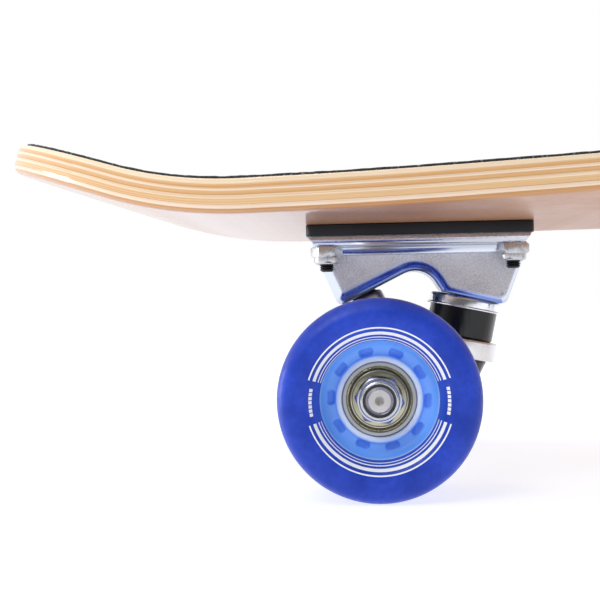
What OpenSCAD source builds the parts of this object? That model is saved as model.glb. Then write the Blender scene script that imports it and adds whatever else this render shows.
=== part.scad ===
// Skateboard: ply deck with kicked nose and tail, two drawn-steel trucks and four urethane wheels.
// Millimetres. X runs along the board with the nose at -X, Z is up, and the wheels stand on z = 0.

/* [Deck] */
// Length of the deck from tip to tip
deck_l = 711; // [640:1:860]
// Width of the deck
deck_w = 203; // [180:1:260]
// Thickness of the glued veneers
deck_t = 10.2; // [8:0.1:14]
// Length of each curved end of the outline
nose_l = 170; // [120:1:240]
// Distance from a truck axle, outward, to where the kick begins to bend
kick_out = 38; // [26:0.5:60]
// Radius of the bend that starts the kick
kick_r = 147; // [100:1:250]
// Angle of the kick
kick_angle = 18.2; // [8:0.1:26]
// Height of the side edges over the flat middle, at half length
concave_h = 8; // [0:0.5:16]
// Distance from a truck axle, outward, to where the concave begins
concave_out = 25; // [0:1:40]
// Length over which the concave grows to its full height
concave_l = 200; // [120:5:220]
// Share of the half width that stays flat across
flat_share = 0.3; // [0.28:0.01:0.5]
// Radius of the lower edge of the deck
edge_r = 3.2; // [1:0.1:4.5]
// Thickness of the grip sheet
grip_t = 0.8; // [0.5:0.1:1.5]

/* [Truck position] */
// Distance between the inner bolt rows of the two trucks
wheelbase = 359; // [330:1:440]
// Spacing of the bolt holes along the board
bolt_x = 63.5; // [60:0.1:66]
// Spacing of the bolt holes across the board
bolt_y = 41.3; // [40:0.1:43]
// Thickness of the riser pad
riser_t = 4.1; // [2:0.1:12]
// Length of the riser pad
riser_l = 77; // [75:0.5:84]
// Width of the riser pad
riser_w = 55; // [54:0.5:58]

/* [Mounting bolts] */
// Diameter of a mounting bolt
bolt_d = 4.8; // [4:0.1:5]
// Diameter of its countersunk head
bolt_head_d = 9.4; // [8.5:0.1:11]
// Thread that stands out of the nut
bolt_proud = 2.5; // [0.5:0.1:5]
// Width across the flats of its nut
bolt_nut_af = 9.5; // [8:0.1:10]

/* [Baseplate] */
// Height from the axle centre to the top of the baseplate
truck_h = 50.8; // [50:0.1:56]
// Length of the baseplate flange
base_l = 75; // [74:0.5:82]
// Width of the baseplate flange
base_w = 54; // [52:0.5:57]
// Thickness of the flange
flange_t = 3.3; // [2.5:0.1:4]
// Width of the drawn shell below the flange
shell_w = 28; // [27:0.5:29]
// Wall of the drawn shell
shell_t = 2.4; // [1.8:0.1:2.6]

/* [Kingpin and bushings] */
// Lean of the kingpin from upright
king_lean = 11.8; // [8:0.1:14]
// Diameter of the kingpin
king_d = 9.5; // [8:0.1:10]
// Width across the flats of the kingpin's head and nut
king_af = 14.3; // [13:0.1:15]
// Diameter of the barrel bushing
barrel_d = 23.8; // [20:0.1:24.4]
// Height of the barrel bushing
barrel_h = 13; // [11:0.1:15]
// Diameter of the wide end of the cone bushing
cone_d = 23; // [20:0.1:25]
// Diameter of the narrow end of the cone bushing
cone_small_d = 15; // [13:0.1:16]
// Height of the cone bushing
cone_h = 14; // [11:0.1:15]

/* [Hanger] */
// Diameter of the hanger ring
ring_d = 28; // [26:0.1:30]
// Thickness of the hanger ring
ring_t = 6.6; // [5:0.1:8]
// Bore of the hanger ring
ring_bore = 15; // [14:0.1:16]
// Diameter of the pivot stem
stem_d = 13; // [11:0.1:13.4]
// Diameter of the ball at the end of the pivot stem
ball_d = 9.2; // [8:0.1:9.6]
// Diameter of the axle housing at its middle
housing_d = 19; // [17:0.1:20]
// Diameter of the axle housing at its ends
housing_end_d = 16; // [14:0.1:18]
// Length of the hanger along the axle
hanger_l = 126; // [110:1:150]
// Diameter of the axle
axle_d = 8; // [7.9:0.1:8]

/* [Wheels] */
// Diameter of a wheel
wheel_d = 59; // [52:0.5:62]
// Width of a wheel
wheel_w = 45; // [36:0.5:50]
// Radius of the wheel's rolling edges
lip_r = 5; // [2:0.1:7]
// Diameter of the wheel core
core_d = 34.6; // [34:0.1:40]
// Width of the wheel core
core_w = 30; // [26:0.5:34]
// Number of slots in each face of the core
slot_count = 10; // [6:1:12]
// Depth of a slot in the core
slot_depth = 9; // [2:0.5:12]

/* [Bearings] */
// Outer diameter of a bearing
bearing_d = 22; // [21.8:0.1:22.2]
// Width of a bearing
bearing_w = 7; // [6.8:0.1:7.2]
// Distance between the two bearings of a wheel
spacer_l = 10; // [8:0.5:12]
// Diameter of a ball
ball_bearing_d = 3.96; // [3.8:0.02:4]
// Balls in a bearing
ball_count = 7; // [6:1:7]

/* [Hidden] */
// clearances
slide_fit = 0.03;
swing_gap = 0.3;
hole_gap = 0.3;
eps = 0.01;

// mounting bolts
bolt_nut_h = 6.1;
bolt_socket_r = 1.8;
bolt_socket_depth = 2.2;

// places along the board
axle_out = 46.5;
axle_x = wheelbase / 2 + axle_out;
bolt_mid = axle_out - bolt_x / 2;
axle_z = wheel_d / 2;
base_top = truck_h;
deck_base = base_top + riser_t;
deck_z = axle_z + deck_base;
kick_x = axle_x + kick_out;

// kingpin, measured down its own axis from the seat under the baseplate
king_x = 31.7;
king_z = base_top - 21.4;
cup_t = 1.5;
cup_depth = 4.2;
ring_top = cup_t + barrel_h;
cone_top = ring_top + ring_t;
low_cup_top = cone_top + cone_h;
low_cup_depth = 2.6;
king_nut_top = low_cup_top + cup_t;
king_nut_h = 8;
king_proud = 1.8;
king_end = king_nut_top + king_nut_h + king_proud;
king_head_h = 6;

// pivot stem, measured up its own axis from the seat under the baseplate
seat_angle = 26;
seat_x = -4.8;
seat_z = base_top - 19.7;
pivot_up = 5;
stem_foot_z = 2.3;
stem_l = (seat_z - stem_foot_z) / cos(seat_angle);
stem_straight_l = 9;
cup_wall = 1.5;
neck_d = ball_d - 1;
shoulder_gap = 1.1;
neck_hole_r = neck_d / 2 + 0.9;

// side outline of the drawn shell: corners in the axle's own frame, with the radius of each;
// one lower face lies square to the pivot stem and the other square to the kingpin
pivot_face = [-13.4, 16.6];
king_face = [22.7, 44.5];
function pivot_face_z(x) = seat_z + (x - seat_x) * tan(seat_angle);
function king_face_z(x) = king_z - (x - king_x) * tan(king_lean);
shell_corners = [
    [-23.9, base_top],
    [pivot_face[0], pivot_face_z(pivot_face[0])], [pivot_face[1], pivot_face_z(pivot_face[1])],
    [king_face[0], king_face_z(king_face[0])], [king_face[1], king_face_z(king_face[1])],
    [53.9, base_top]
];
shell_radii = [0, 1.5, 8.5, 1.5, 2.5, 0];
shell_end_r = 6;
round_steps = 8;

// wheels along the axle
wheel_y = hanger_l / 2 + 1 + spacer_l / 2 + bearing_w;
bearing_out = spacer_l / 2 + bearing_w;
washer_t = 1;
washer_d = 12;
spacer_d = 11;
axle_nut_af = 12.7;
axle_nut_h = 6.5;
axle_end = wheel_y + bearing_out + washer_t + axle_nut_h + 0.5;

// rims of the core, from the bore outward
hub_r = bearing_d / 2 + 1.6;
core_rim_r = core_d / 2 - 1.6;
slot_in_gap = 0.2;
slot_out_gap = 1.9;
slot_w = core_d / 2 - hub_r - slot_in_gap - slot_out_gap;
slot_r = hub_r + slot_in_gap + slot_w / 2;
slot_size = [slot_w, 4.9];
slot_turn = -3;
shoulder_r = 9.5;

// bearing section
pitch_r = bearing_d / 4 + 2;
inner_race_r = pitch_r - 1.4;
outer_race_bore = pitch_r + 1.5;
groove_gap = 0.04;
shield_seat_r = bearing_d / 2 - 1.25;
shield_seat_w = 0.9;
shield_bore = inner_race_r + 0.35;
shield_t = 0.35;
shield_gap = 0.08;
snap_r = shield_seat_r - 0.65;
snap_opening = 1.6;
cage_half_w = 0.7;
cage_gap = 0.1;
cage_crown = 1.2;
cage_back = bearing_w / 2 - shield_seat_w - shield_gap;

// stations and points across the deck
nose_steps = 17;
mid_steps = 16;
across_steps = 5;
tip_turn = 3;

$fn = 48;

// ---------- outlines ----------

function unit(v) = v / norm(v);

// arc of radius r that rounds the corner at b between a and c
function corner(a, b, c, r, steps) =
    let (
        u = unit(a - b),
        v = unit(c - b),
        half = acos(u * v) / 2,
        mid = b + unit(u + v) * r / sin(half),
        from = b + u * r / tan(half) - mid,
        to = b + v * r / tan(half) - mid,
        start = atan2(from[1], from[0]),
        raw = atan2(to[1], to[0]) - start,
        turn = raw > 180 ? raw - 360 : raw < -180 ? raw + 360 : raw
    )
    [for (i = [0:steps]) mid + r * [cos(start + turn * i / steps), sin(start + turn * i / steps)]];

// closed outline with each corner rounded by its own radius
function rounded(points, radii) =
    let (n = len(points))
    [for (i = [0:n - 1])
        each radii[i] > 0
            ? corner(points[(i + n - 1) % n], points[i], points[(i + 1) % n], radii[i], round_steps)
            : [points[i]]];

// outline moved inward by d, for an outline that runs anticlockwise
function inset(points, d) =
    let (n = len(points))
    [for (i = [0:n - 1])
        let (
            u = unit(points[i] - points[(i + n - 1) % n]),
            v = unit(points[(i + 1) % n] - points[i]),
            nu = [-u[1], u[0]],
            nv = [-v[1], v[0]]
        )
        points[i] + (nu + nv) * d / (1 + nu * nv)];

module rounded_box(l, w, h, r) {
    box = [[-l / 2, -w / 2], [l / 2, -w / 2], [l / 2, w / 2], [-l / 2, w / 2]];
    linear_extrude(h) polygon(rounded(box, [r, r, r, r]));
}

// side outline drawn in x and z, made solid across y
module across(width) {
    rotate([90, 0, 0]) translate([0, 0, -width / 2]) linear_extrude(width) children();
}

// ---------- places ----------

// truck frame: origin at the axle's centre, X towards the middle of the board
module at_truck(end) {
    if (end == "front") translate([-axle_x, 0, axle_z]) children();
    else mirror([1, 0, 0]) translate([-axle_x, 0, axle_z]) children();
}

// kingpin frame, at a depth below the seat
module at_king(depth) {
    translate([king_x, 0, king_z]) rotate([0, king_lean, 0]) translate([0, 0, -depth]) children();
}

// pivot frame, at a height above its seat
module at_stem(height) {
    translate([seat_x, 0, seat_z]) rotate([0, -seat_angle, 0]) translate([0, 0, height]) children();
}

module at_bolts() {
    for (sx = [-1, 1])
        for (sy = [-1, 1])
            translate([bolt_mid + sx * bolt_x / 2, sy * bolt_y / 2, 0]) children();
}

// both ends of an axle: local Z points outward along the axle
module at_axle_ends() {
    rotate([90, 0, 0]) children();
    rotate([-90, 0, 0]) children();
}

// wheel frame: origin at the wheel's centre, local Z outward
module at_wheel(end, side) {
    turn = side == "left" ? 90 : -90;
    at_truck(end) rotate([turn, 0, 0]) translate([0, 0, wheel_y]) children();
}

// both bearings of a wheel, local Z outward from the wheel's middle, origin at the bearing's centre
module at_bearings() {
    for (s = [0, 1])
        mirror([0, 0, s]) translate([0, 0, (spacer_l + bearing_w) / 2]) children();
}

// ---------- shared hardware ----------

// lock nut standing on z = 0, with its nylon collar on top
module lock_nut(af, h, bore_d) {
    collar_h = h * 0.38;
    hex_h = h - collar_h;
    corner_r = af / 2 / cos(30);
    collar_r = af / 2 * 0.93;
    round_r = collar_h * 0.45;
    difference() {
        union() {
            intersection() {
                cylinder(r = corner_r, h = hex_h, $fn = 6);
                rotate_extrude() polygon([
                    [0, 0], [af / 2 + 0.1, 0], [corner_r, hex_h * 0.18],
                    [corner_r, hex_h * 0.82], [af / 2 + 0.1, hex_h], [0, hex_h]
                ]);
            }
            translate([0, 0, hex_h - eps]) rotate_extrude() polygon(concat(
                [[0, 0], [collar_r, 0]],
                [for (a = [0:15:90]) [
                    collar_r - round_r + round_r * cos(a), collar_h + eps - round_r + round_r * sin(a)
                ]],
                [[0, collar_h + eps]]
            ));
        }
        translate([0, 0, -1]) cylinder(d = bore_d + 2 * slide_fit, h = h + 2);
    }
}

module tube(outer_r, inner_r, h) {
    difference() {
        cylinder(r = outer_r, h = h);
        translate([0, 0, -1]) cylinder(r = inner_r, h = h + 2);
    }
}

// ---------- deck and grip ----------

// height and slope of the deck's underside along its middle line
function bend_run() = kick_r * sin(kick_angle);
function kick_height(x) =
    let (d = abs(x) - kick_x)
    d <= 0 ? 0
    : d < bend_run() ? kick_r - sqrt(kick_r * kick_r - d * d)
    : kick_r * (1 - cos(kick_angle)) + (d - bend_run()) * tan(kick_angle);
function kick_slope(x) =
    let (d = abs(x) - kick_x)
    sign(x) * (d <= 0 ? 0 : d < bend_run() ? asin(d / kick_r) : kick_angle);

// half width at a distance from the middle of the board
function half_width(x) =
    let (d = 1 - (deck_l / 2 - abs(x)) / nose_l)
    d <= 0 ? deck_w / 2 : deck_w / 2 * sqrt(max(0, 1 - d * d));

// rise of the side edge over the flat
function edge_rise(x) =
    let (t = min(1, max(0, (axle_x + concave_out - abs(x)) / concave_l)))
    concave_h * t * t * (3 - 2 * t);

nose_turns = [for (i = [0:nose_steps]) tip_turn + (90 - tip_turn) * i / nose_steps];
nose_stations = [for (a = nose_turns) -deck_l / 2 + nose_l * (1 - cos(a))];
mid_length = deck_l - 2 * nose_l;
mid_stations = [for (i = [1:mid_steps - 1]) -mid_length / 2 + mid_length * i / mid_steps];
tail_stations = [for (i = [nose_steps:-1:0]) -nose_stations[i]];
stations = concat(nose_stations, mid_stations, tail_stations);

// places across: from one edge to the other, with one flat strip in the middle
out_shares = [for (i = [across_steps:-1:0]) i / across_steps];
across_y = concat([for (t = out_shares) [-1, t]], [for (i = [0:across_steps]) [1, i / across_steps]]);
across_n = len(across_y);

// point at station x, side share t outward of the flat, a height above the underside, pulled in from the edge
function deck_point(x, side, t, height, pull) =
    let (
        hw = half_width(x) - pull,
        flat = half_width(x) * flat_share,
        y = side * (flat + (hw - flat) * t),
        z = kick_height(x) + edge_rise(x) * t * t,
        a = kick_slope(x)
    )
    [x - height * sin(a), y, deck_z + z + height * cos(a)];

edge_turns = [30, 60, 90];
function edge_pull() = min(edge_r, half_width(stations[0]) / 2);

// one station of the deck: underside, top, then the rounded lower edge on each side
function deck_ring(x) = concat(
    [for (p = across_y) deck_point(x, p[0], p[1], 0, edge_pull())],
    [for (p = across_y) deck_point(x, p[0], p[1], deck_t, 0)],
    [for (s = [-1, 1]) for (a = edge_turns)
        deck_point(x, s, 1, edge_r * (1 - cos(a)), edge_pull() * (1 - sin(a)))]
);

function grip_ring(x) = concat(
    [for (p = across_y) deck_point(x, p[0], p[1], deck_t, 0)],
    [for (p = across_y) deck_point(x, p[0], p[1], deck_t + grip_t, grip_t / 2)]
);

// triangles of one quad, with the diagonal mirrored about both middle lines
function quad(a, b, c, d, flip) = flip ? [[d, b, a], [d, c, b]] : [[c, b, a], [d, c, a]];

// faces of a slab whose rings hold an underside row, a top row and the points of each side edge
function slab_faces(rings, edge_points) =
    let (
        size = 2 * across_n + 2 * edge_points,
        last = across_n - 1,
        left = concat([0], [for (m = [0:1:edge_points - 1]) 2 * across_n + m], [across_n]),
        right = concat([last], [for (m = [0:1:edge_points - 1]) 2 * across_n + edge_points + m],
            [across_n + last])
    )
    concat(
        [for (i = [0:rings - 2]) for (k = [0:last - 1])
            each quad(i * size + k, i * size + k + 1, (i + 1) * size + k + 1, (i + 1) * size + k,
                (k < last / 2) != (i < rings / 2))],
        [for (i = [0:rings - 2]) for (k = [0:last - 1])
            each quad((i + 1) * size + across_n + k, (i + 1) * size + across_n + k + 1,
                i * size + across_n + k + 1, i * size + across_n + k,
                (k < last / 2) == (i < rings / 2))],
        [for (i = [0:rings - 2]) for (m = [0:edge_points])
            each quad(i * size + right[m], i * size + right[m + 1],
                (i + 1) * size + right[m + 1], (i + 1) * size + right[m], false)],
        [for (i = [0:rings - 2]) for (m = [0:edge_points])
            each quad((i + 1) * size + left[m], (i + 1) * size + left[m + 1],
                i * size + left[m + 1], i * size + left[m], false)],
        cap_faces(0, last, left, right, edge_points, false),
        cap_faces((rings - 1) * size, last, left, right, edge_points, true)
    );

// faces that close one end of a slab
function cap_faces(base, last, left, right, edge_points, flip) =
    let (
        faces = concat(
            [for (k = [0:last - 1])
                each quad(base + across_n + k, base + across_n + k + 1, base + k + 1, base + k, false)],
            [for (m = [1:1:edge_points]) [base + left[0], base + left[m + 1], base + left[m]]],
            [for (m = [1:1:edge_points]) [base + right[m], base + right[m + 1], base + right[0]]]
        )
    )
    flip ? [for (f = faces) [f[2], f[1], f[0]]] : faces;

module bolt_holes() {
    for (end = ["front", "rear"])
        at_truck(end) at_bolts() children();
}

bolt_top = deck_base + deck_t + grip_t - 0.2;
bolt_low = base_top - flange_t - bolt_nut_h - bolt_proud;
hole_d = bolt_d + 2 * hole_gap;
sink_r = bolt_head_d / 2 + 0.05;

module countersink() {
    translate([0, 0, bolt_top - sink_r]) cylinder(r1 = 0, r2 = sink_r, h = sink_r);
    translate([0, 0, bolt_top - eps]) cylinder(r = sink_r, h = 2);
}

module deck() {
    color("burlywood") difference() {
        polyhedron(
            points = [for (x = stations) each deck_ring(x)],
            faces = slab_faces(len(stations), len(edge_turns)),
            convexity = 6
        );
        bolt_holes() translate([0, 0, deck_base - 5]) cylinder(d = hole_d, h = deck_t + 10);
        bolt_holes() countersink();
    }
}

module grip_tape() {
    color("#202022") difference() {
        polyhedron(
            points = [for (x = stations) each grip_ring(x)],
            faces = slab_faces(len(stations), 0),
            convexity = 6
        );
        bolt_holes() translate([0, 0, deck_base]) cylinder(r = sink_r, h = deck_t + 10);
    }
}

// ---------- truck: fixed parts ----------

module riser_pad(end) {
    color("#2b2d30") at_truck(end) difference() {
        translate([bolt_mid, 0, base_top]) rounded_box(riser_l, riser_w, riser_t, 2.8);
        at_bolts() translate([0, 0, base_top - 1]) cylinder(d = hole_d, h = riser_t + 2);
    }
}

// block inside the shell's outline moved inward by d; the hollow one runs out of the top
module shell_block(d) {
    arch = 2;
    radii = [for (i = [0:len(shell_radii) - 1])
        i == arch ? shell_radii[i] + d : shell_radii[i] > 0 ? max(0.4, shell_radii[i] - d) : 0];
    corners = inset(shell_corners, d);
    last = len(corners) - 1;
    raised = [for (i = [0:last]) corners[i] + (i == 0 || i == last ? [0, d + (d > 0 ? 1 : 0)] : [0, 0])];
    across(shell_w - 2 * d) polygon(rounded(raised, radii));
}

module baseplate(end) {
    slant = flange_t * 0.75;
    low = base_top - flange_t;
    flange_side = [
        [bolt_mid - base_l / 2 + slant, low], [bolt_mid + base_l / 2 - slant, low],
        [bolt_mid + base_l / 2, base_top], [bolt_mid - base_l / 2, base_top]
    ];
    color("#b9bec6") at_truck(end) difference() {
        union() {
            intersection() {
                translate([bolt_mid, 0, low]) rounded_box(base_l, base_w, flange_t, 4);
                across(base_w + 2) polygon(flange_side);
            }
            intersection() {
                shell_block(0);
                translate([bolt_mid, 0, base_top - 30])
                    rounded_box(base_l + 3, shell_w, 30, shell_end_r / 2);
            }
        }
        shell_block(shell_t);
        at_bolts() translate([0, 0, low - 1]) cylinder(d = hole_d, h = flange_t + 2);
        at_king(10) cylinder(d = king_d + 2 * slide_fit, h = 20);
        at_stem(-2) cylinder(r = neck_hole_r, h = 8);
    }
}

module bolts(end) {
    color("#1c1c1e") at_truck(end) at_bolts() difference() {
        union() {
            translate([0, 0, bolt_low]) cylinder(d = bolt_d, h = bolt_top - bolt_low - 1);
            translate([0, 0, bolt_top - bolt_head_d / 2])
                intersection() {
                    cylinder(r1 = 0, r2 = bolt_head_d / 2, h = bolt_head_d / 2);
                    translate([0, 0, 0.5]) cylinder(d = bolt_head_d, h = bolt_head_d / 2 - 0.5);
                }
        }
        translate([0, 0, bolt_top - bolt_socket_depth]) cylinder(r = bolt_socket_r, h = 3, $fn = 6);
    }
}

module bolt_nuts(end) {
    color("silver") at_truck(end) at_bolts()
        translate([0, 0, base_top - flange_t]) mirror([0, 0, 1]) lock_nut(bolt_nut_af, bolt_nut_h, bolt_d);
}

module kingpin(end) {
    color("#a9adb3") at_truck(end) {
        at_king(king_end) cylinder(d = king_d, h = king_end + shell_t + 1);
        at_king(-shell_t - 0.1) rotate([0, 0, 30])
            cylinder(r = king_af / 2 / cos(30), h = king_head_h, $fn = 6);
    }
}

module kingpin_nut(end) {
    color("silver") at_truck(end) at_king(king_nut_top) mirror([0, 0, 1])
        lock_nut(king_af, king_nut_h, king_d);
}

module pivot_cup(end) {
    ball_r = ball_d / 2 + swing_gap;
    outer_r = ball_r + cup_wall;
    top = pivot_up + ball_r + cup_wall;
    color("#303236") at_truck(end) difference() {
        at_stem(shell_t + 0.05) cylinder(r = outer_r, h = top - shell_t);
        at_stem(pivot_up) sphere(r = ball_r);
        at_stem(0) cylinder(r1 = ball_r + 0.3, r2 = ball_r, h = pivot_up);
    }
}

// cup washer with its rim downward along the kingpin
module cup_washer(wall_r, rim_r, depth) {
    wall = 0.75;
    rim_h = 0.9;
    rotate_extrude() polygon([
        [king_d / 2 + slide_fit, 0], [wall_r - 0.8, 0], [wall_r - 0.2, -0.3], [wall_r, -0.9],
        [wall_r, rim_h - depth], [rim_r, rim_h - 0.3 - depth], [rim_r, -depth],
        [wall_r - wall, -depth], [wall_r - wall, -cup_t], [king_d / 2 + slide_fit, -cup_t]
    ]);
}

module washer_upper(end) {
    color("#d5d9de") at_truck(end) at_king(0)
        cup_washer(barrel_d / 2 + 0.85, barrel_d / 2 + 1.3, cup_depth);
}

module washer_lower(end) {
    color("#d5d9de") at_truck(end) at_king(low_cup_top + cup_t) mirror([0, 0, 1])
        cup_washer(cone_small_d / 2 + 1.55, cone_small_d / 2 + 1.8, low_cup_depth);
}

module bushing_upper(end) {
    r = barrel_d / 2;
    color("#1d1d1f") at_truck(end) at_king(ring_top) rotate_extrude() polygon([
        [king_d / 2 + slide_fit, 0], [r - 0.6, 0], [r, 0.6], [r, barrel_h - 0.6],
        [r - 0.6, barrel_h], [king_d / 2 + slide_fit, barrel_h]
    ]);
}

module bushing_lower(end) {
    color("#1d1d1f") at_truck(end) at_king(low_cup_top) rotate_extrude() polygon([
        [king_d / 2 + slide_fit, 0], [cone_small_d / 2, 0], [cone_d / 2 - 0.2, cone_h - 0.8],
        [cone_d / 2 - 0.6, cone_h], [king_d / 2 + slide_fit, cone_h]
    ]);
}

// ---------- truck: swinging parts ----------

module hanger_body() {
    neck_w = 44;
    hull() {
        at_king(cone_top) cylinder(d = ring_d - 3, h = ring_t - 0.8, $fn = 32);
        rotate([90, 0, 0]) translate([0, 0, -neck_w / 2])
            cylinder(d = housing_d - 1, h = neck_w, $fn = 32);
    }
}

module hanger(end) {
    half = hanger_l / 2;
    taper = housing_d / 2;
    end_r = housing_end_d / 2;
    color("#c9ccd0") at_truck(end) difference() {
        union() {
            at_king(cone_top) cylinder(d = ring_d, h = ring_t);
            hanger_body();
            rotate([90, 0, 0]) rotate_extrude() polygon([
                [0, -half], [end_r - 0.6, -half], [end_r, 0.6 - half], [end_r, 12 - half],
                [end_r - 0.7, 14 - half], [taper, -26], [taper, 26], [end_r - 0.7, half - 14],
                [end_r, half - 12], [end_r, half - 0.6], [end_r - 0.6, half], [0, half]
            ]);
            at_stem(-stem_l) cylinder(d1 = housing_d, d2 = stem_d, h = stem_l - stem_straight_l);
            at_stem(-stem_straight_l - 1) cylinder(d = stem_d, h = stem_straight_l + 1 - shoulder_gap);
            at_stem(-shoulder_gap - eps) cylinder(d1 = stem_d, d2 = neck_d, h = 0.7);
            at_stem(-shoulder_gap) cylinder(d = neck_d, h = pivot_up + shoulder_gap);
            at_stem(pivot_up) sphere(d = ball_d);
        }
        at_king(60) cylinder(d = ring_d - 1, h = 60 - cone_top);
        at_king(60) cylinder(d = ring_bore, h = 60);
        at_king(ring_top) cylinder(d = barrel_d + 4, h = barrel_h + cup_t);
        rotate([90, 0, 0]) translate([0, 0, -half - 1])
            cylinder(d = axle_d + 2 * slide_fit, h = hanger_l + 2);
    }
}

module axle(end) {
    chamfer = 0.8;
    r = axle_d / 2;
    color("#9fa3a8") at_truck(end) difference() {
        rotate([90, 0, 0]) rotate_extrude() polygon([
            [0, -axle_end], [r - chamfer, -axle_end], [r, chamfer - axle_end],
            [r, axle_end - chamfer], [r - chamfer, axle_end], [0, axle_end]
        ]);
        at_axle_ends() translate([0, 0, axle_end - 1.4]) cylinder(r1 = 0, r2 = 1.6, h = 1.6);
    }
}

module axle_nuts(end) {
    color("silver") at_truck(end) at_axle_ends()
        translate([0, 0, wheel_y + bearing_out + washer_t]) lock_nut(axle_nut_af, axle_nut_h, axle_d);
}

module speed_washers(end) {
    color("#c4c7cb") at_truck(end) at_axle_ends()
        for (z = [wheel_y - bearing_out - washer_t, wheel_y + bearing_out])
            translate([0, 0, z]) tube(washer_d / 2, axle_d / 2 + slide_fit, washer_t);
}

module spacers(end) {
    color("#b4b7bb") at_truck(end) at_axle_ends()
        translate([0, 0, wheel_y - spacer_l / 2]) tube(spacer_d / 2, axle_d / 2 + slide_fit, spacer_l);
}

module ball_groove() {
    rotate_extrude() translate([pitch_r, 0]) circle(d = ball_bearing_d + 2 * groove_gap);
}

module inner_races(end) {
    color("#c8cbd0") at_truck(end) at_axle_ends() translate([0, 0, wheel_y]) at_bearings()
        difference() {
            translate([0, 0, -bearing_w / 2]) tube(inner_race_r, axle_d / 2 + slide_fit, bearing_w);
            ball_groove();
        }
}

// ---------- wheels ----------

module tyre(end, side) {
    r = wheel_d / 2;
    half = wheel_w / 2;
    core_half = core_w / 2;
    dish_r = r - lip_r - 2.5;
    dish_z = half - 3.5;
    profile = concat(
        [[core_d / 2, -dish_z], [dish_r, -half]],
        [for (a = [-90:15:0]) [r - lip_r + lip_r * cos(a), -half + lip_r + lip_r * sin(a)]],
        [for (a = [0:15:90]) [r - lip_r + lip_r * cos(a), half - lip_r + lip_r * sin(a)]],
        [[dish_r, half], [core_d / 2, dish_z]]
    );
    color("#2c3ec0") at_wheel(end, side) rotate_extrude($fn = 96) polygon(profile);
}

module core(end, side) {
    half = core_w / 2;
    color("#6f9df2") at_wheel(end, side) difference() {
        rotate_extrude($fn = 96) polygon([
            [shoulder_r, -spacer_l / 2], [bearing_d / 2 + slide_fit, -spacer_l / 2],
            [bearing_d / 2 + slide_fit, -bearing_out - 0.3], [hub_r - 0.4, -bearing_out - 0.3],
            [hub_r, -bearing_out + 0.1], [hub_r, -bearing_out + 1],
            [core_rim_r, -bearing_out + 1], [core_d / 2 - slide_fit, -half],
            [core_d / 2 - slide_fit, half], [core_rim_r, bearing_out - 1],
            [hub_r, bearing_out - 1], [hub_r, bearing_out - 0.1], [hub_r - 0.4, bearing_out + 0.3],
            [bearing_d / 2 + slide_fit, bearing_out + 0.3], [bearing_d / 2 + slide_fit, spacer_l / 2],
            [shoulder_r, spacer_l / 2]
        ]);
        for (i = [0:slot_count - 1])
            rotate([0, 0, slot_turn + i * 360 / slot_count])
                for (s = [-1, 1])
                    translate([slot_r, 0, s * (bearing_out - slot_depth / 2)])
                        cube([slot_size[0], slot_size[1], slot_depth], center = true);
    }
}

module outer_races(end, side) {
    half = bearing_w / 2;
    r = bearing_d / 2;
    color("#8f939a") at_wheel(end, side) at_bearings() difference() {
        rotate_extrude() polygon([
            [outer_race_bore, shield_seat_w - half], [shield_seat_r, shield_seat_w - half],
            [shield_seat_r, -half], [r - 0.4, -half], [r, 0.4 - half], [r, half - 0.4],
            [r - 0.4, half], [shield_seat_r, half], [shield_seat_r, half - shield_seat_w],
            [outer_race_bore, half - shield_seat_w]
        ]);
        ball_groove();
    }
}

// two shields of each bearing, each with its snap ring
module shields(end, side) {
    seat = bearing_w / 2 - shield_seat_w;
    color("#8d8a66") at_wheel(end, side) at_bearings()
        for (s = [0, 1])
            mirror([0, 0, s]) {
                translate([0, 0, seat]) tube(shield_seat_r - slide_fit, shield_bore, shield_t);
                translate([0, 0, seat + shield_t]) difference() {
                    tube(shield_seat_r - slide_fit, snap_r, shield_t);
                    rotate([0, 0, 60]) translate([0, -snap_opening / 2, -1])
                        cube([bearing_d, snap_opening, 3]);
                }
            }
}

module at_balls() {
    for (i = [0:ball_count - 1])
        rotate([0, 0, i * 360 / ball_count]) translate([pitch_r, 0, 0]) children();
}

module balls(end, side) {
    color("#d9dce0") at_wheel(end, side) at_bearings() at_balls() sphere(d = ball_bearing_d);
}

module cages(end, side) {
    color("#c2b280") at_wheel(end, side) at_bearings() difference() {
        translate([0, 0, -cage_crown]) tube(pitch_r + cage_half_w, pitch_r - cage_half_w, cage_crown + cage_back);
        at_balls() sphere(d = ball_bearing_d + 2 * cage_gap);
    }
}

deck();
grip_tape();
riser_pad("front");  // riser_pad_front
baseplate("front");  // baseplate_front
bolts("front");  // bolts_front
bolt_nuts("front");  // bolt_nuts_front
kingpin("front");  // kingpin_front
kingpin_nut("front");  // kingpin_nut_front
pivot_cup("front");  // pivot_cup_front
washer_upper("front");  // washer_upper_front
bushing_upper("front");  // bushing_upper_front
bushing_lower("front");  // bushing_lower_front
washer_lower("front");  // washer_lower_front
hanger("front");  // hanger_front
axle("front");  // axle_front
axle_nuts("front");  // axle_nuts_front
speed_washers("front");  // speed_washers_front
spacers("front");  // spacers_front
inner_races("front");  // inner_races_front
riser_pad("rear");  // riser_pad_rear
baseplate("rear");  // baseplate_rear
bolts("rear");  // bolts_rear
bolt_nuts("rear");  // bolt_nuts_rear
kingpin("rear");  // kingpin_rear
kingpin_nut("rear");  // kingpin_nut_rear
pivot_cup("rear");  // pivot_cup_rear
washer_upper("rear");  // washer_upper_rear
bushing_upper("rear");  // bushing_upper_rear
bushing_lower("rear");  // bushing_lower_rear
washer_lower("rear");  // washer_lower_rear
hanger("rear");  // hanger_rear
axle("rear");  // axle_rear
axle_nuts("rear");  // axle_nuts_rear
speed_washers("rear");  // speed_washers_rear
spacers("rear");  // spacers_rear
inner_races("rear");  // inner_races_rear
tyre("front", "left");  // tyre_front_left
core("front", "left");  // core_front_left
outer_races("front", "left");  // outer_races_front_left
shields("front", "left");  // shields_front_left
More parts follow.
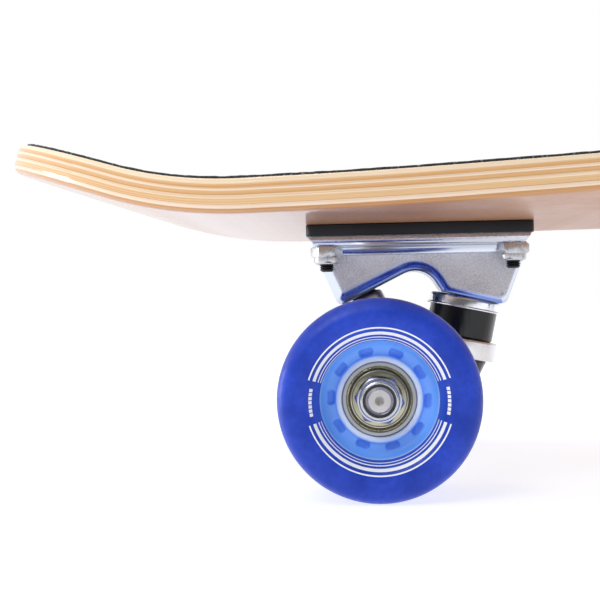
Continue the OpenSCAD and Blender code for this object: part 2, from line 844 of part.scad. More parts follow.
balls("front", "left");  // balls_front_left
cages("front", "left");  // cages_front_left
tyre("front", "right");  // tyre_front_right
core("front", "right");  // core_front_right
outer_races("front", "right");  // outer_races_front_right
shields("front", "right");  // shields_front_right
balls("front", "right");  // balls_front_right
cages("front", "right");  // cages_front_right
tyre("rear", "left");  // tyre_rear_left
core("rear", "left");  // core_rear_left
outer_races("rear", "left");  // outer_races_rear_left
shields("rear", "left");  // shields_rear_left
balls("rear", "left");  // balls_rear_left
cages("rear", "left");  // cages_rear_left
tyre("rear", "right");  // tyre_rear_right
core("rear", "right");  // core_rear_right
outer_races("rear", "right");  // outer_races_rear_right
shields("rear", "right");  // shields_rear_right
balls("rear", "right");  // balls_rear_right
cages("rear", "right");  // cages_rear_right
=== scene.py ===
"""Skateboard: the visible deck, trucks and wheels, modelled around the board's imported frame."""

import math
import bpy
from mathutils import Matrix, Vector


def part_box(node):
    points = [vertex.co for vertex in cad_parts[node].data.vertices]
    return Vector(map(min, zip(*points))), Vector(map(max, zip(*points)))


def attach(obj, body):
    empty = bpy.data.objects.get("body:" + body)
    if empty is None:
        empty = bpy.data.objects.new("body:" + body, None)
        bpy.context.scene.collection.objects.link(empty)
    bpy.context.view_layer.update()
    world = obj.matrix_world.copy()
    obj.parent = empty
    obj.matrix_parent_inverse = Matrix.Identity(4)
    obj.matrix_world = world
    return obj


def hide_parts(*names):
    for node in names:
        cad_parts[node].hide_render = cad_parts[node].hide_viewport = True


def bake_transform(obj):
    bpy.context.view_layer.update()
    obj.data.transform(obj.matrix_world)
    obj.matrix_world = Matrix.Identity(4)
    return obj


bl_info = {
    "name": "Skateboard",
    "version": (1, 0, 0),
    "blender": (4, 5, 0),
    "location": "View3D > Sidebar > Skateboard",
    "description": "Models a ply skateboard with drawn-steel trucks and urethane wheels",
    "category": "Add Mesh",
}

import bpy
from mathutils import Matrix, Vector, noise

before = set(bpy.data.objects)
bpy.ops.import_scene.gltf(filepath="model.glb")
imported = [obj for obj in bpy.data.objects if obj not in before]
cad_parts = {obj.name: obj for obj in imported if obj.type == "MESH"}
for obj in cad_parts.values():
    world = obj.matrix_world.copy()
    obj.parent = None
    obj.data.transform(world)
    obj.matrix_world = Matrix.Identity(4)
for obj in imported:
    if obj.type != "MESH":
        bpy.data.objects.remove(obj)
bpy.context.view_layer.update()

MM = 0.001
ENDS = ("front", "rear")
SIDES = ("left", "right")


def middle(node):
    """Centre of a frame node's box, in metres."""
    low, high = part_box(node)
    return [(a + b) / 2 for a, b in zip(low, high)]


def height_of(node, top=True):
    """Highest or lowest level of a frame node, in millimetres."""
    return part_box(node)[1 if top else 0][2] / MM


AXLE_X = -middle("axle_front")[0] / MM
AXLE_Z = middle("axle_front")[2] / MM
AXLE_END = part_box("axle_front")[1][1] / MM
WHEEL_Y = middle("tyre_front_right")[1] / MM
BASE_TOP = height_of("riser_pad_front", top=False) - AXLE_Z
DECK_LOW = height_of("riser_pad_front")
DECK_HALF_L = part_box("deck")[1][0] / MM
DECK_HALF_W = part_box("deck")[1][1] / MM
GRIP_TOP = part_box("grip_tape")

# the bolt rows, the kingpin seat and the pivot seat, in the truck's own frame
BOLT_MID = middle("riser_pad_front")[0] / MM + AXLE_X
BOLT_X = 63.5
BOLT_Y = 41.3
KING_X = 31.7
KING_Z = BASE_TOP - 21.4
KING_LEAN = math.radians(11.8)
SEAT_X = -4.8
SEAT_Z = BASE_TOP - 19.7
SEAT_ANGLE = math.radians(26)


# ---------- settings a user would change ----------

def colour(text, default):
    return bpy.props.FloatVectorProperty(
        name=text, description=text, subtype="COLOR", size=3, min=0, max=1, default=default
    )


def length(text, default):
    return bpy.props.FloatProperty(
        name=text, description=f"{text}, in millimetres", default=default, min=0
    )


class SkateboardDeckSettings(bpy.types.PropertyGroup):
    ply_total: length("Thickness of the glued plies", 10.2)
    grip_thick: length("Thickness of the grip sheet", 0.8)
    edge_round: length("Radius of the lower edge", 3.2)
    maple_pale: colour("Pale ply", (0.93, 0.75, 0.54))
    maple_tan: colour("Tan ply", (0.74, 0.42, 0.17))
    lacquer_wood: colour("Underside veneer", (0.50, 0.25, 0.13))
    grit: colour("Grip grit", (0.012, 0.012, 0.014))


class SkateboardTruckSettings(bpy.types.PropertyGroup):
    zinc: colour("Zinc-plated sheet", (0.74, 0.75, 0.77))
    nickel: colour("Bright nickel", (0.86, 0.87, 0.89))
    cast: colour("Cast hanger", (0.80, 0.80, 0.80))
    black_oxide: colour("Black oxide bolt", (0.015, 0.015, 0.017))
    urethane_black: colour("Bushing urethane", (0.004, 0.004, 0.005))
    riser_black: colour("Riser pad", (0.010, 0.011, 0.013))
    drawn_round: length("Radius of the drawn shell's edges", 4.0)


class SkateboardWheelSettings(bpy.types.PropertyGroup):
    urethane: colour("Wheel urethane", (0.010, 0.046, 0.42))
    core: colour("Wheel core", (0.15, 0.42, 1.0))
    hub: colour("Hub ring", (0.80, 0.87, 1.0))
    print_white: colour("Printed rings", (0.93, 0.94, 0.97))
    shield_gold: colour("Bearing shield", (0.42, 0.39, 0.27))
    ground_steel: colour("Bearing steel", (0.42, 0.43, 0.44))


class SkateboardStageSettings(bpy.types.PropertyGroup):
    view_distance: length("Camera distance from the board's middle plane", 460)
    lens: length("Lens", 76.8)
    floor_white: colour("Floor", (0.36, 0.38, 0.44))


# ---------- modelling helpers ----------

def only(obj):
    """Selects one object and nothing else, and makes it active."""
    bpy.ops.object.select_all(action="DESELECT")
    obj.select_set(True)
    bpy.context.view_layer.objects.active = obj
    return obj


def edit(obj):
    only(obj)
    bpy.ops.object.mode_set(mode="EDIT")
    bpy.ops.mesh.select_all(action="SELECT")


def leave():
    bpy.ops.object.mode_set(mode="OBJECT")


def named(name):
    """Gives the primitive just added its name, with its place moved into its mesh."""
    obj = bpy.context.object
    obj.name = name
    obj.data.name = name
    bpy.ops.object.transform_apply(location=True, rotation=True, scale=True)
    return obj


def apply_modifier(obj, kind, **settings):
    only(obj)
    mod = obj.modifiers.new(kind.lower(), kind)
    for key, value in settings.items():
        setattr(mod, key, value)
    bpy.ops.object.modifier_apply(modifier=mod.name)


def tidy(obj, gap=1e-6):
    """Merges doubles and turns every face outward."""
    edit(obj)
    bpy.ops.mesh.remove_doubles(threshold=gap)
    bpy.ops.mesh.normals_make_consistent(inside=False)
    leave()


def smooth(obj, angle=35):
    only(obj)
    bpy.ops.object.shade_smooth_by_angle(angle=math.radians(angle))


def cut(obj, cutter, operation="DIFFERENCE"):
    apply_modifier(obj, "BOOLEAN", object=cutter, operation=operation, solver="EXACT")
    bpy.data.objects.remove(cutter, do_unlink=True)


def join(objs, name):
    only(objs[0])
    for other in objs[1:]:
        other.select_set(True)
    bpy.ops.object.join()
    objs[0].name = name
    objs[0].data.name = name
    return objs[0]


def paint(obj, material):
    obj.data.materials.clear()
    obj.data.materials.append(material)


def moved_copy(obj, name, matrix):
    """A copy with its own mesh, moved by a matrix."""
    copy = obj.copy()
    copy.data = obj.data.copy()
    copy.name = name
    copy.data.name = name
    bpy.context.scene.collection.objects.link(copy)
    copy.data.transform(matrix)
    return copy


def ring_of(name, profile, turn=360, start=0, steps=96):
    """Spins a closed profile of (radius, height) points about Z, in millimetres."""
    a = math.radians(start)
    points = [(r * math.cos(a) * MM, r * math.sin(a) * MM, h * MM) for r, h in profile]
    edges = [(i, (i + 1) % len(points)) for i in range(len(points))]
    mesh = bpy.data.meshes.new(name)
    mesh.from_pydata(points, edges, [])
    obj = bpy.data.objects.new(name, mesh)
    bpy.context.scene.collection.objects.link(obj)
    edit(obj)
    bpy.ops.mesh.spin(steps=steps, angle=math.radians(-turn), center=(0, 0, 0), axis=(0, 0, 1))
    bpy.ops.mesh.select_all(action="SELECT")
    bpy.ops.mesh.remove_doubles(threshold=1e-6)
    if turn < 360:
        bpy.ops.mesh.select_all(action="DESELECT")
        bpy.ops.mesh.select_non_manifold()
        bpy.ops.mesh.fill_holes(sides=0)
    bpy.ops.mesh.select_all(action="SELECT")
    bpy.ops.mesh.normals_make_consistent(inside=False)
    leave()
    return obj


def drum(name, radius, low, high, sides=64, x=0.0, y=0.0):
    """A cylinder along Z, in millimetres."""
    bpy.ops.object.select_all(action="DESELECT")
    bpy.ops.mesh.primitive_cylinder_add(
        vertices=sides,
        radius=radius * MM,
        depth=(high - low) * MM,
        location=(x * MM, y * MM, (low + high) / 2 * MM),
    )
    return named(name)


def wrapped_sheet(name, columns, rows, place):
    """A grid whose rows close into a tube: place(i, j) gives each point in millimetres."""
    bpy.ops.object.select_all(action="DESELECT")
    bpy.ops.mesh.primitive_grid_add(x_subdivisions=columns - 1, y_subdivisions=rows, size=2)
    obj = named(name)
    for v in obj.data.vertices:
        i = round((v.co.x + 1) / 2 * (columns - 1))
        j = round((v.co.y + 1) / 2 * rows) % rows
        v.co = Vector(place(i, j)) * MM
    tidy(obj)
    return obj


def close_ends(obj):
    edit(obj)
    bpy.ops.mesh.select_all(action="DESELECT")
    bpy.ops.mesh.select_non_manifold()
    bpy.ops.mesh.fill_holes(sides=0)
    bpy.ops.mesh.select_all(action="SELECT")
    bpy.ops.mesh.normals_make_consistent(inside=False)
    leave()


def arc(cx, cz, r, start, end, steps):
    """Points of an arc in degrees."""
    return [
        (
            cx + r * math.cos(math.radians(start + (end - start) * i / steps)),
            cz + r * math.sin(math.radians(start + (end - start) * i / steps)),
        )
        for i in range(steps + 1)
    ]


# ---------- places ----------

def truck_place(end):
    turn = 0 if end == "front" else math.pi
    return Matrix.Rotation(turn, 4, "Z") @ Matrix.Translation((-AXLE_X * MM, 0, AXLE_Z * MM))


def king_place(depth):
    seat = Matrix.Translation((KING_X * MM, 0, KING_Z * MM))
    return seat @ Matrix.Rotation(KING_LEAN, 4, "Y") @ Matrix.Translation((0, 0, -depth * MM))


def stem_place(height):
    seat = Matrix.Translation((SEAT_X * MM, 0, SEAT_Z * MM))
    return seat @ Matrix.Rotation(-SEAT_ANGLE, 4, "Y") @ Matrix.Translation((0, 0, height * MM))


def axle_place(end, side, out):
    """Local Z runs outward along the axle from a distance out of its middle."""
    turn = math.pi / 2 if side == "left" else -math.pi / 2
    if end == "rear":
        turn = -turn
    spin = Matrix.Rotation(turn, 4, "X")
    return truck_place(end) @ spin @ Matrix.Translation((0, 0, out * MM))


def bolt_places():
    return [
        (BOLT_MID + sx * BOLT_X / 2, sy * BOLT_Y / 2) for sx in (-1, 1) for sy in (-1, 1)
    ]


# ---------- material helpers ----------

class Finish:
    """A material under construction: a Principled shader and short ways to add nodes to it."""

    def __init__(self, name, **sockets):
        self.material = bpy.data.materials.new(name)
        self.material.use_nodes = True
        self.tree = self.material.node_tree
        self.shader = self.tree.nodes["Principled BSDF"]
        for key, value in sockets.items():
            self.set(key, value)

    def set(self, key, value):
        socket = self.shader.inputs[key.replace("_", " ")]
        if hasattr(value, "is_output"):
            self.tree.links.new(value, socket)
        elif hasattr(socket.default_value, "__len__") and len(socket.default_value) == 4:
            socket.default_value = (*value[:3], 1)
        else:
            socket.default_value = value

    def node(self, kind, settings=None, **inputs):
        node = self.tree.nodes.new(kind)
        for key, value in (settings or {}).items():
            setattr(node, key, value)
        for key, value in inputs.items():
            self.feed(node, key.replace("_", " "), value)
        return node

    def feed(self, node, key, value):
        socket = node.inputs[int(key)] if key.isdigit() else node.inputs[key]
        if hasattr(value, "is_output"):
            self.tree.links.new(value, socket)
        elif hasattr(socket.default_value, "__len__") and len(socket.default_value) == 4:
            socket.default_value = (*value[:3], 1)
        else:
            socket.default_value = value

    def where(self, scale=(1, 1, 1)):
        """Object coordinates in millimetres, stretched by scale."""
        coordinates = self.node("ShaderNodeTexCoord").outputs["Object"]
        return self.stretch(coordinates, [1000 * s for s in scale])

    def stretch(self, vector, scale):
        mapping = self.node("ShaderNodeMapping", Vector=vector)
        mapping.inputs["Scale"].default_value = scale
        return mapping.outputs["Vector"]

    def noise(self, vector, scale, detail=4, roughness=0.55):
        return self.node(
            "ShaderNodeTexNoise", Vector=vector, Scale=scale, Detail=detail, Roughness=roughness
        ).outputs["Fac"]

    def ramp(self, value, stops, mode="LINEAR"):
        ramp = self.node("ShaderNodeValToRGB", Fac=value)
        ramp.color_ramp.interpolation = mode
        elements = ramp.color_ramp.elements
        while len(elements) < len(stops):
            elements.new(0.5)
        for element, (place, shade) in zip(elements, stops):
            element.position = place
            element.color = (*shade, 1) if hasattr(shade, "__len__") else (shade, shade, shade, 1)
        return ramp.outputs["Color"]

    def math(self, operation, a, b=0.0):
        node = self.tree.nodes.new("ShaderNodeMath")
        node.operation = operation
        for socket, value in zip(node.inputs, (a, b)):
            if hasattr(value, "is_output"):
                self.tree.links.new(value, socket)
            else:
                socket.default_value = value
        return node.outputs[0]

    def mix(self, factor, a, b, blend="MIX"):
        node = self.tree.nodes.new("ShaderNodeMix")
        node.data_type = "RGBA"
        node.blend_type = blend
        for index, value in ((0, factor), (6, a), (7, b)):
            socket = node.inputs[index]
            if hasattr(value, "is_output"):
                self.tree.links.new(value, socket)
            elif index == 0:
                socket.default_value = value
            else:
                socket.default_value = (*value[:3], 1)
        return node.outputs[2]

    def attribute(self, name):
        return self.node("ShaderNodeAttribute", {"attribute_name": name}).outputs["Fac"]

    def bump(self, height, strength=0.3, distance=0.0001):
        bump = self.node("ShaderNodeBump", Height=height, Strength=strength, Distance=distance)
        self.set("Normal", bump.outputs["Normal"])

    def uv(self, name):
        return self.node("ShaderNodeUVMap", {"uv_map": name}).outputs["UV"]


def shade_point(obj, name, value):
    """Writes value(x, y, z in millimetres) to a point attribute."""
    layer = obj.data.attributes.new(name, "FLOAT", "POINT")
    for v in obj.data.vertices:
        layer.data[v.index].value = value(*(v.co / MM))


# ---------- deck shape ----------

KICK_X = 264.0
KICK_R = 147.0
KICK_ANGLE = math.radians(18.2)
NOSE_L = 170.0
CONCAVE_H = 8.0
CONCAVE_OUT = 25.0
CONCAVE_L = 200.0
FLAT_SHARE = 0.3
OUTLINE_L = 355.5


def kick(x):
    """Height and slope of the underside's middle line at x."""
    d = abs(x) - KICK_X
    run = KICK_R * math.sin(KICK_ANGLE)
    if d <= 0:
        return 0.0, 0.0
    if d < run:
        return KICK_R - math.sqrt(KICK_R**2 - d * d), math.copysign(math.asin(d / KICK_R), x)
    rise = KICK_R * (1 - math.cos(KICK_ANGLE)) + (d - run) * math.tan(KICK_ANGLE)
    return rise, math.copysign(KICK_ANGLE, x)


def outline(x):
    """How far station x lies into the rounded end, and the half width there as a share."""
    d = max(0.0, 1 - (OUTLINE_L - abs(x)) / NOSE_L)
    return d, math.sqrt(max(0.0, 1 - d * d))


def half_width(x):
    return DECK_HALF_W * outline(x)[1]


def top_round(x):
    """Radius of the top edge: crisp along the sides, eased over the nose and tail."""
    t = min(1.0, max(0.0, (outline(x)[0] - 0.75) / 0.25))
    return 0.35 + 1.8 * t * t * (3 - 2 * t)


def edge_rise(x):
    t = min(1.0, max(0.0, (AXLE_X + CONCAVE_OUT - abs(x)) / CONCAVE_L))
    return CONCAVE_H * t * t * (3 - 2 * t)


def deck_point(x, side, share, up, pull):
    """A point at station x, share of the way out from the flat strip, up from the underside."""
    flat = half_width(x) * FLAT_SHARE
    d, share_w = outline(x)
    wide = (DECK_HALF_W - pull) * share_w
    x -= math.copysign(pull * d, x)
    y = side * (flat + (max(wide, flat) - flat) * share)
    z, slope = kick(x)
    z += edge_rise(x) * share * share
    return (x - up * math.sin(slope), y, DECK_LOW + z + up * math.cos(slope))


def deck_stations(nose_steps, mid_steps, tip_turn):
    nose = [
        -OUTLINE_L + NOSE_L * (1 - math.cos(math.radians(tip_turn + (90 - tip_turn) * i / nose_steps)))
        for i in range(nose_steps + 1)
    ]
    mid_l = 2 * (OUTLINE_L - NOSE_L)
    mid = [-mid_l / 2 + mid_l * i / mid_steps for i in range(1, mid_steps)]
    return nose + mid + [-x for x in reversed(nose)]


def deck_settings():
    return bpy.context.scene.skateboard_deck


class SKATEBOARD_OT_deck(bpy.types.Operator):
    """Models the ply deck with its rounded lower edge and countersunk bolt holes"""

    bl_idname = "skateboard.deck"
    bl_label = "Deck"

    def execute(self, context):
        s = deck_settings()
        stations = deck_stations(60, 60, 1.2)
        across = [(-1, t / 12) for t in range(12, 0, -1)] + [(1, t / 12) for t in range(0, 13)]
        r = s.edge_round
        rounding = [(r * (1 - math.cos(a)), r * (1 - math.sin(a)))
                    for a in (math.radians(15 * k) for k in range(1, 7))]
        wall = [(r + (s.ply_total - r) * k / 6, 0.0) for k in range(1, 4)]
        shoulder = [("top", math.radians(a)) for a in (0, 20, 40, 60, 80)]
        side = rounding + wall + shoulder
        section = (
            [(k, t, 0.0, r) for k, t in across]
            + [(1, 1.0, up, pull) for up, pull in side]
            + [(k, t, "top", math.pi / 2) for k, t in reversed(across)]
            + [(-1, 1.0, up, pull) for up, pull in reversed(side)]
        )

        def place(i, j):
            k, t, up, pull = section[j]
            x = stations[i]
            if up == "top":
                ease = top_round(x)
                up, pull = s.ply_total - ease * (1 - math.sin(pull)), ease * (1 - math.cos(pull))
            return deck_point(x, k, t, up, pull)

        deck = wrapped_sheet("deck_board", len(stations), len(section), place)
        close_ends(deck)
        self.mark_plies(deck, s)
        for end in ENDS:
            for x, y in bolt_places():
                spot = truck_place(end) @ Vector((x * MM, y * MM, 0))
                top = DECK_LOW + s.ply_total
                cut(deck, drum("sink", 4.68, top - 3.2, top + 3, 48, spot.x / MM, spot.y / MM))
        smooth(deck, 40)
        paint(deck, ply_wood(s))
        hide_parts("deck")
        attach(deck, "board")
        return {"FINISHED"}

    def mark_plies(self, deck, s):
        """UV: distance along the board, height in the plies."""
        layer = deck.data.uv_layers.new(name="plies")
        for loop in deck.data.loops:
            x, y, z = deck.data.vertices[loop.vertex_index].co / MM
            base, slope = kick(x)
            wide = half_width(x)
            flat = wide * FLAT_SHARE
            share = min(1.0, max(0.0, (abs(y) - flat) / max(wide - flat, 1.0)))
            up = (z - DECK_LOW - base - edge_rise(x) * share * share) * math.cos(slope)
            around = x if wide > DECK_HALF_W * 0.6 else x + math.copysign(abs(y), y * x) * 0.6
            layer.data[loop.index].uv = (around * 0.01, up / s.ply_total)


def ply_wood(s):
    """Cross-laminated maple: pale long-grain plies and tan cross plies, lacquered."""
    m = Finish("ply_wood", Roughness=0.34, IOR=1.5, Specular_IOR_Level=0.2, Coat_Roughness=0.04)
    uv = m.uv("plies")
    spread = m.node("ShaderNodeSeparateXYZ", Vector=uv)
    along, up = spread.outputs["X"], spread.outputs["Y"]
    wave = m.noise(m.stretch(uv, (0.9, 0.0, 1)), 1.0, 3)
    up = m.math("ADD", up, m.math("MULTIPLY", m.math("SUBTRACT", wave, 0.5), 0.05))
    pale, tan = s.maple_pale, s.maple_tan
    cream = (0.94, 0.76, 0.58)
    warm = (0.80, 0.51, 0.25)
    low = (0.66, 0.35, 0.14)
    line = (0.50, 0.27, 0.11)
    stops = [
        (0.0, low), (0.122, line), (0.132, cream), (0.252, line), (0.262, warm), (0.425, pale),
        (0.530, line), (0.540, tan), (0.655, cream), (0.740, line), (0.750, tan),
        (0.848, pale),
    ]
    plies = m.ramp(up, stops, "CONSTANT")
    soft = m.ramp(m.math("SUBTRACT", up, 0.012), stops)
    plies = m.mix(0.3, plies, soft)
    fibre = m.noise(m.stretch(uv, (7, 90, 1)), 1.0, 6, 0.7)
    streak = m.noise(m.stretch(uv, (0.5, 26, 1)), 1.0, 5, 0.65)
    darker = m.mix(1.0, plies, (0.80, 0.60, 0.40), "MULTIPLY")
    paler = m.mix(1.0, plies, (1.15, 1.12, 1.10), "MULTIPLY")
    plies = m.mix(m.ramp(fibre, [(0.45, 0.0), (0.75, 0.5)]), plies, darker)
    plies = m.mix(m.ramp(streak, [(0.52, 0.0), (0.66, 0.75)]), plies, darker)
    plies = m.mix(m.ramp(streak, [(0.30, 0.7), (0.44, 0.0)]), plies, paler)
    grain_place = m.where((0.02, 0.35, 0.02))
    rings = m.node("ShaderNodeTexWave", {"bands_direction": "Y"}, Vector=grain_place,
                   Scale=0.35, Distortion=9.0, Detail=4.0, Detail_Scale=0.7).outputs["Fac"]
    pores = m.noise(m.where((0.05, 2.5, 1)), 1.0, 5, 0.7)
    face = m.mix(m.ramp(rings, [(0.2, 0.0), (0.9, 0.7)]), s.lacquer_wood, (0.60, 0.31, 0.16))
    face = m.mix(m.ramp(pores, [(0.4, 0.0), (0.75, 0.6)]), face, (0.25, 0.11, 0.055))
    under = m.ramp(up, [(0.012, 1.0), (0.06, 0.0)])
    place = m.node("ShaderNodeSeparateXYZ", Vector=m.where())
    middle = m.math("ABSOLUTE", place.outputs["X"])
    worn = m.ramp(m.math("DIVIDE", middle, DECK_HALF_L), [(0.48, 0.05), (0.60, 0.18), (0.78, 0.70)])
    m.set("Coat Weight", worn)
    m.set("Base Color", m.mix(under, plies, face))
    m.set("Roughness", m.ramp(fibre, [(0.3, 0.30), (0.8, 0.48)]))
    m.bump(m.math("ADD", fibre, m.math("MULTIPLY", pores, 0.3)), 0.08, 0.0002)
    return m.material


class SKATEBOARD_OT_grip(bpy.types.Operator):
    """Models the grip sheet with its coarse grit"""

    bl_idname = "skateboard.grip"
    bl_label = "Grip sheet"

    def execute(self, context):
        s = deck_settings()
        stations = deck_stations(130, 190, 1.2)
        across = [(-1, t / 30) for t in range(30, 0, -1)] + [(1, t / 30) for t in range(0, 31)]
        t0, t1 = s.ply_total, s.ply_total + s.grip_thick
        side = [(t0 + s.grip_thick * 0.35, 0.05), (t0 + s.grip_thick * 0.75, 0.15)]
        section = (
            [(k, t, t0, 0.1) for k, t in across]
            + [(1, 1.0, up, pull) for up, pull in side]
            + [(k, t, t1, 0.4) for k, t in reversed(across)]
            + [(-1, 1.0, up, pull) for up, pull in reversed(side)]
        )

        def place(i, j):
            k, t, up, pull = section[j]
            x, y, z = deck_point(stations[i], k, t, up, pull + top_round(stations[i]))
            if up > t0:
                grit = noise.noise((x * 1.5, y * 1.5, 3.7)) + 0.8 * noise.noise((x * 3.1, y * 3.1, 9.1))
                z += 0.13 * grit * (up - t0) / s.grip_thick - 0.05
                y += 0.10 * noise.noise((x * 1.7, y, 21.0)) * (t == 1.0)
            return (x, y, z)

        grip = wrapped_sheet("grip_sheet", len(stations), len(section), place)
        close_ends(grip)
        for end in ENDS:
            for x, y in bolt_places():
                spot = truck_place(end) @ Vector((x * MM, y * MM, 0))
                low = DECK_LOW + t0
                cut(grip, drum("hole", 4.85, low - 3, low + 4, 48, spot.x / MM, spot.y / MM))
        smooth(grip, 60)
        paint(grip, grit_sheet(s))
        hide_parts("grip_tape")
        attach(grip, "board")
        return {"FINISHED"}


def grit_sheet(s):
    """Black abrasive grains in a black binder, some of them catching the light."""
    m = Finish("grit_sheet", Roughness=0.75, IOR=1.55)
    place = m.where()
    cells = m.node("ShaderNodeTexVoronoi", Vector=place, Scale=1.6)
    grains = cells.outputs["Distance"]
    tint = m.node("ShaderNodeSeparateColor", Color=cells.outputs["Color"]).outputs["Red"]
    worn = m.noise(place, 0.02, 3)
    spark = m.ramp(tint, [(0.90, 0.0), (0.97, 1.0)])
    base = m.mix(m.ramp(worn, [(0.4, 0.0), (0.8, 0.5)]), s.grit, (0.028, 0.028, 0.030))
    m.set("Base Color", m.mix(spark, base, (0.16, 0.16, 0.17)))
    m.set("Roughness", m.ramp(tint, [(0.0, 0.95), (0.9, 0.62), (1.0, 0.30)]))
    m.bump(m.math("MULTIPLY", grains, -1.0), 0.9, 0.0005)
    return m.material


# ---------- truck ----------

def corner(a, b, c, r, steps):
    """Arc of radius r that rounds the corner b between a and c."""
    u, v = (a - b).normalized(), (c - b).normalized()
    half = u.angle(v) / 2
    mid = b + (u + v).normalized() * r / math.sin(half)
    start = b + u * r / math.tan(half) - mid
    stop = b + v * r / math.tan(half) - mid
    from_angle = math.atan2(start.y, start.x)
    turn = math.atan2(stop.y, stop.x) - from_angle
    turn = (turn + math.pi) % (2 * math.pi) - math.pi
    return [
        mid + r * Vector((math.cos(from_angle + turn * k / steps), math.sin(from_angle + turn * k / steps)))
        for k in range(steps + 1)
    ]


def shell_path(shift):
    """The drawn shell's lower line: each edge of its side outline moved in by shift times its radius."""
    top = BASE_TOP - 3.4
    points = [
        Vector(p) for p in (
            (-22.4, top), (-13.4, BASE_TOP - 23.9), (16.6, BASE_TOP - 9.3),
            (22.7, BASE_TOP - 19.2), (44.5, BASE_TOP - 24.4), (52.6, top),
        )
    ]
    edge_rounds = EDGE_ROUNDS
    ways = [(points[i + 1] - points[i]).normalized() for i in range(5)]
    normals = [Vector((-w.y, w.x)) for w in ways]
    moved = [points[0] + Vector((edge_rounds[0] * shift, 0))]
    for i in range(1, 5):
        n1, n2 = normals[i - 1], normals[i]
        d1, d2 = edge_rounds[i - 1] * shift, edge_rounds[i] * shift
        cross = n1.x * n2.y - n1.y * n2.x
        moved.append(points[i] + Vector((d1 * n2.y - d2 * n1.y, d2 * n1.x - d1 * n2.x)) / cross)
    moved.append(points[5] - Vector((edge_rounds[4] * shift, 0)))
    radii = [0, 2.2, 8.5, 1.8, 2.6, 0]
    grow = [0, -0.3, 1.0, 0.2, -0.3, 0]
    path, rounds = [], []
    for i in range(6):
        near = edge_rounds[max(i - 1, 0)]
        far = edge_rounds[min(i, 4)]
        if i in (0, 5):
            path.append(moved[i])
            rounds.append(far if i == 0 else near)
        else:
            r = max(0.8, radii[i] + grow[i] * shift * (near + far) / 2)
            steps = 10
            path += corner(moved[i - 1], moved[i], moved[i + 1], r, steps)
            rounds += [near + (far - near) * k / steps for k in range(steps + 1)]
        if i < 5:
            path.append(None)
            rounds.append(None)
    return path, rounds


EDGE_ROUNDS = [4.4, 4.6, 4.0, 2.6, 1.6]
EDGE_FLAT = 0.42


def filled_path(shift, between=6):
    """The shell path with points spread along each straight stretch, and each point's edge radius."""
    path, rounds = shell_path(shift)
    points, radii = [], []
    for k, p in enumerate(path):
        if p is not None:
            points.append(p)
            radii.append(rounds[k])
            continue
        a, b = path[k - 1], path[k + 1]
        ra, rb = rounds[k - 1], rounds[k + 1]
        for m in range(1, between):
            points.append(a.lerp(b, m / between))
            radii.append(ra + (rb - ra) * m / between)
    return points, radii


SHELL_HALF = 14.0
BASE_HALF_W = 27.0
FLANGE_T = 3.3


def truck_settings():
    return bpy.context.scene.skateboard_truck


